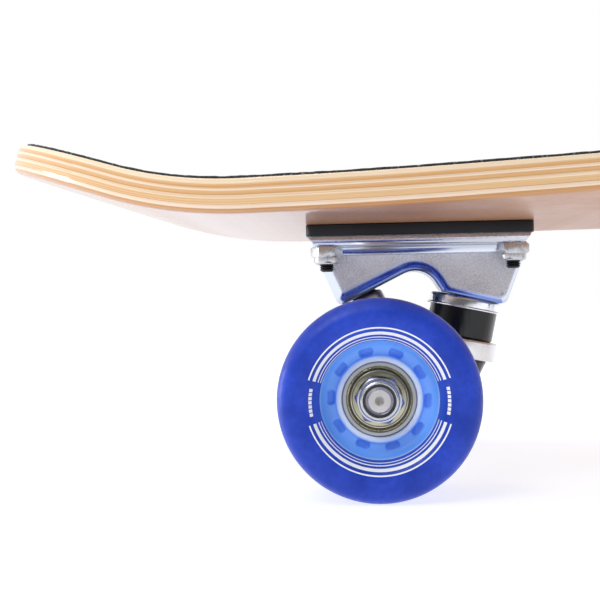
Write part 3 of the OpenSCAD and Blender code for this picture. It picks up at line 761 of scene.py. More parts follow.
class SKATEBOARD_OT_baseplates(bpy.types.Operator):
    """Models the drawn-steel baseplates with their flanges and rounded shells"""

    bl_idname = "skateboard.baseplates"
    bl_label = "Baseplates"

    def execute(self, context):
        s = truck_settings()
        turns = [math.radians(90 * k / 8) for k in range(0, 9)]
        crown = [filled_path(1 - math.sin(a)) for a in turns]
        columns = len(crown[0][0])
        low = BASE_TOP - FLANGE_T
        fillet, fillet_out = 3.2, 1.7
        end_l, end_r = BOLT_MID - 37.5, BOLT_MID + 37.5
        half = []
        half.append(("crown", 8, 0.0))
        half.append(("crown", 8, 0.55))
        for k in range(8, -1, -1):
            half.append(("round", k, None))
        for t in (0.2, 0.45, 0.7, 0.9):
            half.append(("wall", t, None))
        for k in range(0, 9):
            half.append(("fillet", math.radians(90 * k / 8), None))
        half.append(("flange", BASE_HALF_W - 4, 0))
        for k in range(0, 4):
            half.append(("rim", math.radians(90 * k / 3), None))
        half.append(("top", BASE_HALF_W - 0.4, 0))
        section = [(1, p) for p in half] + [(-1, p) for p in reversed(half)][:-1]

        def flange_x(x, slant):
            return min(max(x, end_l + slant), end_r - slant)

        def place(i, j):
            side, (kind, a, b) = section[j]
            base = crown[8][0][i]
            foot = crown[0][0][i]
            radius = crown[8][1][i] * EDGE_FLAT
            if kind == "crown":
                return (base.x, side * (SHELL_HALF - radius) * b, base.y)
            if kind == "round":
                p = crown[a][0][i]
                return (p.x, side * (SHELL_HALF - radius + radius * math.cos(turns[a])), p.y)
            z_top = low - fillet
            if kind == "wall":
                z = foot.y + (max(z_top, foot.y) - foot.y) * a
                x = foot.x + (base.x - foot.x) * a
                return (x, side * SHELL_HALF, z)
            x = flange_x(base.x, 2.2)
            if kind == "fillet":
                z = max(z_top, foot.y) if a == 0 else z_top + fillet * math.sin(a)
                return (x, side * (SHELL_HALF + fillet_out * (1 - math.cos(a))), z)
            if kind == "flange":
                return (x, side * a, low)
            if kind == "rim":
                r = 2.0
                return (
                    flange_x(base.x, 2.2 - 1.6 * (1 - math.cos(a))),
                    side * (BASE_HALF_W - r + r * math.sin(a)),
                    low + r * (1 - math.cos(a)),
                )
            return (flange_x(base.x, 0.0), side * a, BASE_TOP)

        plate = wrapped_sheet("baseplate_steel_front", columns, len(section), place)
        close_ends(plate)
        hole = drum("pivot_hole", 6.0, -3, 9, 48)
        hole.data.transform(stem_place(0))
        cut(plate, hole)
        dimple = drum("dimple", 0.65, -0.1, 1, 20)
        dimple.data.transform(
            Matrix.Translation((43.2 * MM, -SHELL_HALF * MM, 30.2 * MM)) @ Matrix.Rotation(math.pi / 2, 4, "X")
        )
        cut(plate, dimple)
        # drawn runs from 0 where the rounded lower edge leaves the wall to 1 on the crown; it places the painted
        # reflection and painted shade below.
        shade_point(plate, "drawn", lambda x, y, z: min(1.0, (SHELL_HALF - abs(y)) / 1.8)
                    if z < low - 0.1 and abs(y) < SHELL_HALF - 0.01 and -12 < x < 43 else 0.0)
        shade_point(plate, "satin", lambda x, y, z: float(
            abs(abs(y) - SHELL_HALF) < 0.05 and z < low - fillet + 0.1
            or abs(y) > BASE_HALF_W - 0.7 and z > BASE_TOP - 1.5
        ))
        smooth(plate, 30)
        paint(plate, zinc_sheet(s))
        finish_truck_piece(plate, "baseplate_steel", "baseplate", "board")
        return {"FINISHED"}


def finish_truck_piece(obj, name, node, body):
    """Puts a piece modelled in the truck's own frame on both trucks."""
    for end in ENDS:
        copy = moved_copy(obj, f"{name}_{end}", truck_place(end))
        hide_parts(f"{node}_{end}")
        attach(copy, body if body == "board" else f"{body}_{end}")
    bpy.data.objects.remove(obj, do_unlink=True)


def zinc_sheet(s):
    """Zinc-plated drawn sheet: satin with a fine pebble on the walls, burnished on the edges, with a painted blue
    reflection of the wheel on the shell's rounded lower edge and painted shade on the crown underneath.
    """
    m = Finish("zinc_sheet", Base_Color=s.zinc, Metallic=1.0)
    place = m.where()
    satin = m.attribute("satin")
    pebble = m.noise(place, 1.5, 5, 0.7)
    cloud = m.noise(place, 0.12, 3)
    rough = m.math("ADD", 0.16, m.math("MULTIPLY", satin, 0.20))
    rough = m.math("ADD", rough, m.math("MULTIPLY", m.math("SUBTRACT", cloud, 0.5), 0.12))
    m.set("Roughness", rough)
    warm = m.mix(m.ramp(cloud, [(0.40, 0.0), (0.66, 0.9)]), (0.66, 0.67, 0.70), (0.54, 0.53, 0.56))
    warm = m.mix(m.ramp(pebble, [(0.42, 0.0), (0.62, 0.8)]), warm, (0.84, 0.86, 0.90))
    plain = m.mix(satin, (0.66, 0.70, 0.78), warm)
    drawn = m.attribute("drawn")
    # Painted reflection of the blue wheel on the rounded lower edge, darkening to painted shade across the crown.
    painted_reflection_and_shade = m.mix(m.ramp(drawn, [(0.25, 0.0), (0.95, 1.0)]), (0.24, 0.34, 0.74), (0.06, 0.08, 0.16))
    m.set("Base Color", m.mix(m.ramp(drawn, [(0.0, 0.0), (0.10, 1.0)]), plain, painted_reflection_and_shade))
    m.bump(m.math("MULTIPLY", pebble, satin), 0.8, 0.0003)
    return m.material


class SKATEBOARD_OT_risers(bpy.types.Operator):
    """Models the riser pads between deck and baseplates"""

    bl_idname = "skateboard.risers"
    bl_label = "Riser pads"

    def execute(self, context):
        s = truck_settings()
        low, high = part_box("riser_pad_front")
        size = [(b - a) for a, b in zip(low, high)]
        bpy.ops.object.select_all(action="DESELECT")
        bpy.ops.mesh.primitive_cube_add(size=1, location=(BOLT_MID * MM, 0, BASE_TOP * MM + size[2] / 2),
                                        scale=size)
        pad = named("riser")
        edit(pad)
        bpy.ops.mesh.select_all(action="DESELECT")
        leave()
        for edge in pad.data.edges:
            a, b = (pad.data.vertices[k].co for k in edge.vertices)
            edge.select = abs(a.z - b.z) > 1e-4
        edit_selected(pad)
        bpy.ops.mesh.bevel(offset=2.8 * MM, segments=8)
        leave()
        apply_modifier(pad, "BEVEL", width=0.45 * MM, segments=3, limit_method="ANGLE",
                       angle_limit=math.radians(50))
        smooth(pad, 40)
        paint(pad, riser_rubber(s))
        finish_truck_piece(pad, "riser", "riser_pad", "board")
        return {"FINISHED"}


def edit_selected(obj):
    """Edit mode with the selection made in object mode kept."""
    only(obj)
    bpy.context.tool_settings.mesh_select_mode = (False, True, False)
    bpy.ops.object.mode_set(mode="EDIT")


def riser_rubber(s):
    m = Finish("riser_rubber", Base_Color=s.riser_black, Specular_IOR_Level=0.25)
    place = m.where()
    fine = m.noise(place, 2.2, 4, 0.6)
    cloud = m.noise(place, 0.06, 3)
    m.set("Base Color", m.mix(m.ramp(cloud, [(0.35, 0.0), (0.7, 0.7)]), s.riser_black, (0.018, 0.020, 0.024)))
    m.set("Roughness", m.ramp(fine, [(0.3, 0.30), (0.7, 0.45)]))
    m.bump(fine, 0.2, 0.0001)
    return m.material


def lock_nut(name, across_flats, tall, bore, turn=0.0):
    """A lock nut standing on z = 0: chamfered hexagon, rolled collar, nylon insert."""
    collar_h = tall * 0.38
    hex_h = tall - collar_h
    corner_r = across_flats / 2 / math.cos(math.radians(30))
    flat_r = across_flats / 2
    hexagon = drum(f"{name}_hex", corner_r, 0, hex_h, 6)
    hexagon.data.transform(Matrix.Rotation(turn, 4, "Z"))
    lens = ring_of(f"{name}_lens", [
        (0, 0), (flat_r + 0.05, 0), (corner_r + 0.02, hex_h * 0.16),
        (corner_r + 0.02, hex_h * 0.80), (flat_r + 0.02, hex_h), (0, hex_h),
    ], steps=72)
    cut(hexagon, lens, "INTERSECT")
    apply_modifier(hexagon, "BEVEL", width=0.12 * MM, segments=2, limit_method="ANGLE",
                   angle_limit=math.radians(25))
    r = flat_r * 0.93
    k = collar_h * 0.42
    collar = ring_of(f"{name}_collar", (
        [(bore + 0.75, hex_h - 0.3), (r - 0.25, hex_h - 0.3), (r, hex_h + 0.05)]
        + arc(r - k, hex_h + collar_h - k, k, 0, 90, 6)
        + arc(bore + 1.15, hex_h + collar_h - 0.4, 0.4, 90, 180, 4)
    ), steps=64)
    insert = ring_of(f"{name}_insert", [
        (bore + 0.04, hex_h - 0.2), (bore + 0.8, hex_h - 0.2),
        (bore + 0.8, hex_h + collar_h - 0.9), (bore + 0.04, hex_h + collar_h - 0.9),
    ], steps=48)
    return hexagon, collar, insert


def nylon_grey():
    m = Finish("nylon_grey", Base_Color=(0.05, 0.055, 0.07), Roughness=0.45)
    fine = m.noise(m.where(), 3.0, 3)
    m.set("Base Color", m.ramp(fine, [(0.3, (0.03, 0.035, 0.05)), (0.8, (0.08, 0.085, 0.10))]))
    m.bump(fine, 0.1, 0.0001)
    return m.material


def bright_zinc(name, shade, rough):
    """Bright plated steel with faint turning and handling marks."""
    m = Finish(name, Base_Color=shade, Metallic=1.0)
    place = m.where()
    fine = m.noise(place, 1.6, 4, 0.65)
    cloud = m.noise(place, 0.25, 2)
    m.set("Roughness", m.ramp(cloud, [(0.3, rough), (0.75, rough + 0.14)]))
    m.set("Base Color", m.mix(m.ramp(fine, [(0.4, 0.0), (0.8, 0.4)]), shade, [c * 0.82 for c in shade]))
    m.bump(fine, 0.12, 0.0001)
    return m.material


class SKATEBOARD_OT_nuts(bpy.types.Operator):
    """Models the lock nuts of the mounting bolts, kingpins and axles"""

    bl_idname = "skateboard.nuts"
    bl_label = "Lock nuts"

    def execute(self, context):
        s = truck_settings()
        zinc = bright_zinc("nut_zinc", (0.60, 0.60, 0.60), 0.2)
        nylon = nylon_grey()
        flip = Matrix.Rotation(math.pi, 4, "X")
        bolt_seat = (BASE_TOP - FLANGE_T) * MM
        nut = self.whole_nut("bolt_nut", 9.5, 6.1, 2.4, zinc, nylon, math.radians(30))
        for end in ENDS:
            copies = []
            for k, (x, y) in enumerate(bolt_places()):
                spot = Matrix.Translation((x * MM, y * MM, bolt_seat))
                twist = Matrix.Rotation(math.radians((2, 25, -9, 48)[k]), 4, "Z")
                copies.append(moved_copy(nut, f"nut_{k}", truck_place(end) @ spot @ twist @ flip))
            self.finish(join(copies, f"bolt_lock_nuts_{end}"), f"bolt_nuts_{end}", "board")
        bpy.data.objects.remove(nut, do_unlink=True)
        nut = self.whole_nut("king_nut", 14.3, 8.0, 4.75, zinc, nylon, 0.3)
        for end in ENDS:
            copy = moved_copy(nut, f"kingpin_lock_nut_{end}", truck_place(end) @ king_place(36.6) @ flip)
            self.finish(copy, f"kingpin_nut_{end}", "board")
        bpy.data.objects.remove(nut, do_unlink=True)
        nut = self.whole_nut("axle_nut", 12.7, 6.5, 4.0, zinc, nylon, math.radians(22))
        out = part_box("axle_nuts_front")[1][1] / MM - 6.5
        for end in ENDS:
            copies = [
                moved_copy(nut, f"nut_{side}", axle_place(end, side, out)) for side in SIDES
            ]
            self.finish(join(copies, f"axle_lock_nuts_{end}"), f"axle_nuts_{end}", f"hanger_{end}")
        bpy.data.objects.remove(nut, do_unlink=True)
        return {"FINISHED"}

    def whole_nut(self, name, across_flats, tall, bore, zinc, nylon, turn):
        hexagon, collar, insert = lock_nut(name, across_flats, tall, bore, turn)
        for piece in (hexagon, collar):
            smooth(piece, 30)
            paint(piece, zinc)
        smooth(insert, 30)
        paint(insert, nylon)
        return join([hexagon, collar, insert], name)

    def finish(self, obj, node, body):
        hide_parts(node)
        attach(obj, body)


class SKATEBOARD_OT_kingpin_stack(bpy.types.Operator):
    """Models the cup washers and bushings on the kingpins"""

    bl_idname = "skateboard.kingpin_stack"
    bl_label = "Washers and bushings"

    def execute(self, context):
        s = truck_settings()
        nickel = bright_zinc("washer_nickel", s.nickel, 0.10)
        upper = self.cup("cup_upper", 12.75, 13.2, 4.2)
        upper.data.transform(king_place(0))
        smooth(upper, 40)
        paint(upper, nickel)
        finish_truck_piece(upper, "cup_washer_upper", "washer_upper", "board")
        lower = self.cup("cup_lower", 9.05, 9.3, 2.6)
        lower.data.transform(king_place(36.6) @ Matrix.Rotation(math.pi, 4, "X"))
        smooth(lower, 40)
        paint(lower, nickel)
        finish_truck_piece(lower, "cup_washer_lower", "washer_lower", "board")
        black = bushing_urethane(s)
        r = 11.9
        barrel = ring_of("barrel", (
            [(4.85, 0), (r - 0.9, 0)] + arc(r - 0.9, 0.9, 0.9, -90, 0, 6)
            + [(r, 3.5), (r, 6.5), (r, 9.5)] + arc(r - 0.9, 12.1, 0.9, 0, 90, 6)
            + [(4.85, 13), (4.85, 9), (4.85, 5)]
        ), steps=80)
        self.bushing(barrel, black, 14.5, "bushing_barrel", "bushing_upper", 13.0)
        cone = ring_of("cone", (
            [(4.85, 0), (7.0, 0)] + arc(7.0, 0.5, 0.5, -90, -16, 4)
            + [(8.6, 4.2), (9.8, 8.3), (11.0, 12.6)] + arc(10.6, 13.3, 0.7, -16, 90, 6)
            + [(4.85, 14), (4.85, 9), (4.85, 5)]
        ), steps=80)
        self.bushing(cone, black, 35.1, "bushing_cone", "bushing_lower", 14.0)
        return {"FINISHED"}

    def cup(self, name, wall_r, rim_r, depth):
        return ring_of(name, (
            [(4.8, 0), (wall_r - 1.2, 0)] + arc(wall_r - 1.2, -1.2, 1.2, 90, 0, 6)
            + [(wall_r, 0.9 - depth)] + arc(rim_r - 0.35, 0.45 - depth, 0.4, 60, -60, 6)
            + [(wall_r - 0.7, 0.05 - depth), (wall_r - 0.75, -2.0), (wall_r - 1.1, -1.5), (4.8, -1.5)]
        ), steps=96)

    def bushing(self, obj, material, depth, name, node, tall):
        obj.data.transform(king_place(depth))
        smooth(obj, 40)
        paint(obj, material)
        for end in ENDS:
            copy = moved_copy(obj, f"{name}_{end}", truck_place(end))
            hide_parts(f"{node}_{end}")
            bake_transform(copy)
        bpy.data.objects.remove(obj, do_unlink=True)


def bushing_urethane(s):
    """Glossy black urethane with a faint up-and-down drag from its mould."""
    m = Finish("bushing_urethane", Base_Color=s.urethane_black, Specular_IOR_Level=0.45)
    place = m.where((1.1, 1.1, 0.08))
    drag = m.noise(place, 1.0, 4, 0.6)
    fine = m.noise(m.where(), 0.9, 3)
    m.set("Roughness", m.ramp(drag, [(0.3, 0.10), (0.7, 0.24)]))
    m.set("Base Color", m.mix(m.ramp(fine, [(0.4, 0.0), (0.8, 0.6)]), s.urethane_black, (0.006, 0.006, 0.007)))
    m.bump(drag, 0.35, 0.00025)
    return m.material


class SKATEBOARD_OT_hangers(bpy.types.Operator):
    """Models the cast hangers with a machined ring round the kingpin"""

    bl_idname = "skateboard.hangers"
    bl_label = "Hangers"

    def execute(self, context):
        s = truck_settings()
        cast = cast_metal(s)
        machined = bright_zinc("ring_machined", s.cast, 0.24)
        for end in ENDS:
            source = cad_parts[f"hanger_{end}"]
            body = source.copy()
            body.data = source.data.copy()
            body.name = f"hanger_cast_{end}"
            body.parent = None
            body.matrix_world = Matrix.Identity(4)
            bpy.context.scene.collection.objects.link(body)
            tidy(body, 1e-5)
            apply_modifier(body, "REMESH", mode="VOXEL", voxel_size=0.75 * MM)
            apply_modifier(body, "SMOOTH", factor=0.5, iterations=9)
            smooth(body, 60)
            paint(body, cast)
            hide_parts(f"hanger_{end}")
            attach(body, f"hanger_{end}")
            ring = ring_of(f"hanger_ring_{end}", (
                arc(7.9, 0.4, 0.4, 180, 270, 4) + arc(13.5, 0.5, 0.5, -90, 0, 5)
                + arc(13.2, 5.8, 0.8, 0, 90, 6) + arc(7.9, 6.2, 0.4, 90, 180, 4)
            ), steps=96)
            ring.data.transform(truck_place(end) @ king_place(21.1))
            smooth(ring, 40)
            paint(ring, machined)
            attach(ring, f"hanger_{end}")
        return {"FINISHED"}


def cast_metal(s):
    m = Finish("cast_metal", Base_Color=s.cast, Metallic=1.0)
    place = m.where()
    skin = m.noise(place, 0.8, 5, 0.65)
    cloud = m.noise(place, 0.08, 3)
    m.set("Roughness", m.ramp(cloud, [(0.3, 0.30), (0.7, 0.46)]))
    m.set("Base Color", m.mix(m.ramp(skin, [(0.35, 0.0), (0.75, 0.5)]), s.cast, (0.62, 0.62, 0.62)))
    m.bump(skin, 0.3, 0.00018)
    return m.material


class SKATEBOARD_OT_plain_hardware(bpy.types.Operator):
    """Finishes the kingpins, pivot cups, axles, washers, spacers and bearing parts that keep their frame shape"""

    bl_idname = "skateboard.plain_hardware"
    bl_label = "Bolts, pins and bearings"

    def execute(self, context):
        t = truck_settings()
        w = bpy.context.scene.skateboard_wheel
        pin = bright_zinc("pin_steel", (0.66, 0.67, 0.69), 0.22)
        axle = bright_zinc("axle_steel_finish", (0.62, 0.60, 0.58), 0.24)
        washer = bright_zinc("washer_zinc", (0.72, 0.72, 0.72), 0.2)
        race = bright_zinc("race_steel", w.ground_steel, 0.26)
        ball = bright_zinc("ball_polish", (0.85, 0.85, 0.86), 0.06)
        cup = riser_rubber(t)
        cup.name = "pivot_cup_rubber"
        for end in ENDS:
            self.finish(f"kingpin_{end}", pin)
            self.finish(f"pivot_cup_{end}", cup)
            self.finish(f"axle_{end}", axle)
            self.finish(f"speed_washers_{end}", washer)
            self.finish(f"spacers_{end}", axle)
            self.finish(f"inner_races_{end}", race)
            for side in SIDES:
                self.finish(f"outer_races_{end}_{side}", race)
                self.finish(f"balls_{end}_{side}", ball)
                self.finish(f"cages_{end}_{side}", washer)
        return {"FINISHED"}

    def finish(self, node, material):
        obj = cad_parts[node]
        for slot in obj.material_slots:
            slot.material = material


class SKATEBOARD_OT_bolts(bpy.types.Operator):
    """Models the countersunk mounting bolts with their threads and hex sockets"""

    bl_idname = "skateboard.bolts"
    bl_label = "Mounting bolts"

    def execute(self, context):
        s = truck_settings()
        low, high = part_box("bolts_front")
        low_z, high_z = low[2] / MM - AXLE_Z, high[2] / MM - AXLE_Z
        pitch, core, outer, head = 0.8, 2.0, 2.4, 4.7
        turns = round((BASE_TOP - low_z - 0.4) / pitch)
        profile = [(0, low_z), (core - 0.3, low_z), (core, low_z + 0.3)]
        for k in range(turns):
            z = low_z + 0.3 + pitch * k
            profile += [(outer, z + pitch * 0.4), (outer, z + pitch * 0.55), (core, z + pitch * 0.95)]
        shank = high_z - head + outer
        profile += [(outer, shank - 2), (outer, shank), (head, high_z - 0.25), (head - 0.15, high_z), (0, high_z)]
        bolt = ring_of("bolt", profile, steps=32)
        socket = drum("socket", 1.8, high_z - 2.2, high_z + 1, 6)
        cut(bolt, socket)
        smooth(bolt, 30)
        paint(bolt, black_bolt(s))
        for end in ENDS:
            copies = [
                moved_copy(bolt, f"bolt_{k}", truck_place(end) @ Matrix.Translation((x * MM, y * MM, 0)))
                for k, (x, y) in enumerate(bolt_places())
            ]
            group = join(copies, f"mounting_bolts_{end}")
            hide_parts(f"bolts_{end}")
            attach(group, "board")
        bpy.data.objects.remove(bolt, do_unlink=True)
        return {"FINISHED"}


def black_bolt(s):
    m = Finish("black_oxide", Base_Color=s.black_oxide, Metallic=0.6)
    place = m.where()
    wear = m.noise(place, 0.7, 4, 0.6)
    m.set("Base Color", m.mix(m.ramp(wear, [(0.45, 0.0), (0.8, 0.5)]), s.black_oxide, (0.07, 0.07, 0.075)))
    m.set("Roughness", m.ramp(wear, [(0.3, 0.32), (0.7, 0.5)]))
    m.bump(wear, 0.2, 0.0001)
    return m.material


# ---------- wheels ----------

WHEEL_R = AXLE_Z
WHEEL_HALF = (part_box("tyre_front_right")[1][1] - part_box("tyre_front_right")[0][1]) / 2 / MM
LIP_R = 5.0
CORE_R = (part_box("core_front_right")[1][2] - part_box("core_front_right")[0][2]) / 2 / MM
BEARING_OUT = 12.0
DISH_R = WHEEL_R - LIP_R - 2.5
DISH_Z = WHEEL_HALF - 3.5


def dish_height(r):
    """Height of the wheel's side face at radius r."""
    if r >= DISH_R:
        return WHEEL_HALF
    t = (r - CORE_R) / (DISH_R - CORE_R)
    return DISH_Z + (WHEEL_HALF - DISH_Z) * math.sin(t * math.pi / 2)


class SKATEBOARD_OT_wheels(bpy.types.Operator):
    """Models the urethane tyres, spoked cores, printed rings and bearing shields"""

    bl_idname = "skateboard.wheels"
    bl_label = "Wheels"

    def execute(self, context):
        w = bpy.context.scene.skateboard_wheel
        pieces = [
            ("urethane", self.tyre(w), "tyre", "tyre"),
            ("wheel_core", self.core(w), "core", "core"),
            ("bearing_shields", self.shields(w), "shields", "bearing_shield"),
            ("printed_rings", self.printing(w), None, "tyre"),
        ]
        for name, obj, node, slot in pieces:
            for end in ENDS:
                for side in SIDES:
                    copy = moved_copy(obj, f"{name}_{end}_{side}", axle_place(end, side, WHEEL_Y))
                    if node:
                        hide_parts(f"{node}_{end}_{side}")
                    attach(copy, f"wheel_{end}_{side}")
            bpy.data.objects.remove(obj, do_unlink=True)
        return {"FINISHED"}

    def tyre(self, w):
        face = [(CORE_R + (DISH_R - CORE_R) * k / 6, dish_height(CORE_R + (DISH_R - CORE_R) * k / 6))
                for k in range(7)]
        lip = arc(WHEEL_R - LIP_R, WHEEL_HALF - LIP_R, LIP_R, 90, 0, 10)
        tread = [(WHEEL_R, z) for z in (12, 6, 0, -6, -12)]
        outside = face + lip
        inside = [(r, -z) for r, z in reversed(outside)]
        tyre = ring_of("tyre", outside + tread + inside, steps=160)
        smooth(tyre, 50)
        shade_point(tyre, "radius", lambda x, y, z: math.hypot(x, y) / WHEEL_R)
        paint(tyre, wheel_urethane(w))
        return tyre

    def core(self, w):
        """Core with a hub ring round each bearing and a row of slots in each face."""
        half = BEARING_OUT
        face = [
            (9.6, 5.0), (11.03, 5.0), (11.03, half + 0.1), (11.3, half + 0.3),
            (12.1, half + 0.3), (12.55, half), (12.75, half - 0.5), (13.1, half - 0.7),
            (15.2, half - 0.6), (CORE_R - 1.1, half - 0.1), (CORE_R - 0.35, half + 1.2), (CORE_R, half + 3.2),
        ]
        core = ring_of("core", face + [(r, -z) for r, z in reversed(face)], steps=160)
        cutters = []
        for s in (-1, 1):
            slot = self.slot_cutter()
            for k in range(10):
                turn = Matrix.Rotation(math.radians(-3 + 36 * k), 4, "Z")
                cutters.append(moved_copy(slot, f"slot_{s}_{k}",
                                          turn @ Matrix.Translation((14.0 * MM, 0, s * (half + 2.1) * MM))))
            bpy.data.objects.remove(slot, do_unlink=True)
        cut(core, join(cutters, "slots"))
        apply_modifier(core, "BEVEL", width=0.45 * MM, segments=3, limit_method="ANGLE",
                       angle_limit=math.radians(60))
        smooth(core, 40)
        shade_point(core, "radius", lambda x, y, z: math.hypot(x, y) / 20)
        shade_point(core, "depth", lambda x, y, z: (half - abs(z)) / half)
        paint(core, wheel_core(w))
        return core

    def slot_cutter(self):
        bpy.ops.object.select_all(action="DESELECT")
        bpy.ops.mesh.primitive_cube_add(size=1, scale=(2.8 * MM, 4.8 * MM, 7 * MM))
        slot = named("slot")
        for edge in slot.data.edges:
            a, b = (slot.data.vertices[k].co for k in edge.vertices)
            edge.select = abs(a.z - b.z) > 1e-4
        edit_selected(slot)
        bpy.ops.mesh.bevel(offset=1.2 * MM, segments=5)
        leave()
        return slot

    def shields(self, w):
        """Pressed shields with nine crimps and a snap ring, one on the outer face of each bearing."""
        parts = []
        seat = BEARING_OUT - 0.62
        disc = ring_of("disc", [
            (6.45, seat - 0.30), (6.7, seat - 0.05), (7.3, seat - 0.05), (7.85, seat - 0.16),
            (8.02, seat), (8.2, seat + 0.06), (8.38, seat), (8.5, seat - 0.4), (8.95, seat - 0.42),
            (9.06, seat - 0.20), (9.7, seat - 0.20), (9.7, seat - 0.55), (6.45, seat - 0.55),
        ], steps=120)
        snap = ring_of("snap", arc(9.28, seat + 0.02, 0.16, 0, 315, 7), steps=110, turn=352, start=94)
        notches = []
        for k in range(9):
            notch = drum(f"notch_{k}", 0.2, seat - 1, seat + 1, 12,
                         9.28 * math.cos(math.radians(110 + 40 * k)), 9.28 * math.sin(math.radians(110 + 40 * k)))
            notches.append(notch)
        cut(snap, join(notches, "notches"))
        for piece in (disc, snap):
            smooth(piece, 30)
        shade_point(disc, "radius", lambda x, y, z: math.hypot(x, y) / 10)
        paint(disc, shield_plate(w))
        paint(snap, bright_zinc("snap_wire", (0.80, 0.74, 0.52), 0.2))
        outer = join([disc, snap], "shield_outer")
        parts.append(moved_copy(outer, "shield_inner", Matrix.Rotation(math.pi, 4, "X")))
        parts.append(outer)
        return join(parts, "shields")

    def printing(self, w):
        """White rings printed on both faces, open at the sides, with a row of dots in each opening."""
        rings = []
        for r, wide in ((20.95, 0.42), (19.45, 0.85), (18.3, 0.26), (17.6, 0.18)):
            for start in (18, 198):
                rings.append(self.printed(r, wide, start, 144))
        for mid in (0, 180):
            for k in range(-3, 4):
                rings.append(self.printed(19.7, 0.9, mid + k * 3.4 - 1.3, 2.6))
        art = join(rings, "art")
        back = moved_copy(art, "art_back", Matrix.Rotation(math.pi, 4, "X"))
        art = join([art, back], "printed")
        smooth(art, 40)
        paint(art, print_ink(w))
        return art

    def printed(self, r, wide, start, turn):
        a, b = r - wide / 2, r + wide / 2
        lift = 0.05
        return ring_of("ink", [
            (a, dish_height(a) - 0.1), (b, dish_height(b) - 0.1),
            (b, dish_height(b) + lift), (r, dish_height(r) + lift), (a, dish_height(a) + lift),
        ], turn=turn, start=start, steps=max(3, round(turn / 2)))


def wheel_urethane(w):
    """Cast urethane that lets some light through."""
    m = Finish("wheel_urethane", IOR=1.45, Specular_IOR_Level=0.32, Subsurface_Weight=0.15,
               Subsurface_Scale=0.003, Sheen_Weight=0.25, Sheen_Roughness=0.4)
    m.shader.inputs["Subsurface Radius"].default_value = (0.25, 0.45, 1.0)
    place = m.where()
    cloud = m.noise(place, 0.07, 4, 0.6)
    soft = m.noise(place, 0.5, 3)
    shade = m.mix(m.ramp(cloud, [(0.36, 0.0), (0.64, 1.0)]), w.urethane, (0.024, 0.075, 0.60))
    shade = m.mix(m.ramp(soft, [(0.35, 0.0), (0.7, 0.35)]), shade, (0.006, 0.032, 0.36))
    inner = m.ramp(m.attribute("radius"), [(0.60, 1.0), (0.65, 0.0)])
    m.set("Base Color", m.mix(m.math("MULTIPLY", inner, 0.6), shade, (0.02, 0.11, 0.66)))
    m.set("Roughness", m.ramp(soft, [(0.35, 0.36), (0.7, 0.48)]))
    m.bump(soft, 0.06, 0.0001)
    return m.material


def wheel_core(w):
    """Core seen through a skin of urethane: paler at the hub ring, deeper in the slots, and glowing faintly blue
    as painted light.
    """
    # The faint blue emission is painted light: the core glows though it is no lamp.
    m = Finish("wheel_core", IOR=1.5, Roughness=0.35, Subsurface_Weight=0.25, Subsurface_Scale=0.003,
               Emission_Color=(0.15, 0.40, 1.0), Emission_Strength=0.10)
    m.shader.inputs["Subsurface Radius"].default_value = (0.3, 0.5, 1.0)
    radius = m.attribute("radius")
    depth = m.attribute("depth")
    soft = m.noise(m.where(), 0.35, 3)
    face = m.mix(m.ramp(radius, [(0.64, 1.0), (0.84, 0.0)]), w.core, (0.22, 0.46, 1.0))
    deep = m.ramp(depth, [(0.064, 0.0), (0.105, 1.0)])
    face = m.mix(deep, face, (0.05, 0.19, 0.76))
    hub = m.ramp(radius, [(0.622, 1.0), (0.640, 0.0)])
    face = m.mix(m.ramp(soft, [(0.3, 0.0), (0.8, 0.25)]), face, (0.30, 0.50, 1.0))
    edge = m.ramp(radius, [(0.848, 0.0), (0.860, 1.0)])
    face = m.mix(edge, face, (0.55, 0.70, 1.0))
    m.set("Base Color", m.mix(hub, face, w.hub))
    m.set("Roughness", m.ramp(soft, [(0.3, 0.30), (0.7, 0.44)]))
    return m.material


def shield_plate(w):
    """Pressed sheet with a gold passivation and a faint turned grain, with painted shade in its groove and a
    painted highlight on its bead.
    """
    m = Finish("shield_plate", Base_Color=w.shield_gold, Metallic=1.0)
    place = m.where()
    cloud = m.noise(place, 0.22, 3)
    fine = m.noise(place, 2.5, 4)
    tint = m.mix(m.ramp(cloud, [(0.35, 0.0), (0.7, 1.0)]), w.shield_gold, (0.58, 0.56, 0.40))
    band = m.attribute("radius")
    # Painted shade: the pressed groove is darkened in colour.
    groove_painted_shade = m.ramp(band, [(0.840, 0.0), (0.852, 1.0), (0.893, 1.0), (0.905, 0.7)])
    # Painted highlight: the raised bead is lightened in colour.
    bead_painted_highlight = m.ramp(band, [(0.795, 0.0), (0.812, 1.0), (0.832, 1.0), (0.842, 0.0)])
    tint = m.mix(bead_painted_highlight, tint, (0.80, 0.77, 0.58))
    m.set("Base Color", m.mix(groove_painted_shade, tint, (0.075, 0.065, 0.040)))
    m.set("Roughness", m.ramp(fine, [(0.3, 0.26), (0.7, 0.40)]))
    m.bump(fine, 0.1, 0.0001)
    return m.material


def print_ink(w):
    m = Finish("print_ink", Base_Color=w.print_white, Roughness=0.4)
    fine = m.noise(m.where(), 2.0, 3)
    m.set("Base Color", m.mix(m.ramp(fine, [(0.55, 0.0), (0.8, 0.4)]), w.print_white, (0.70, 0.76, 0.92)))
    m.bump(fine, 0.1, 0.00005)
    return m.material


# ---------- stage ----------

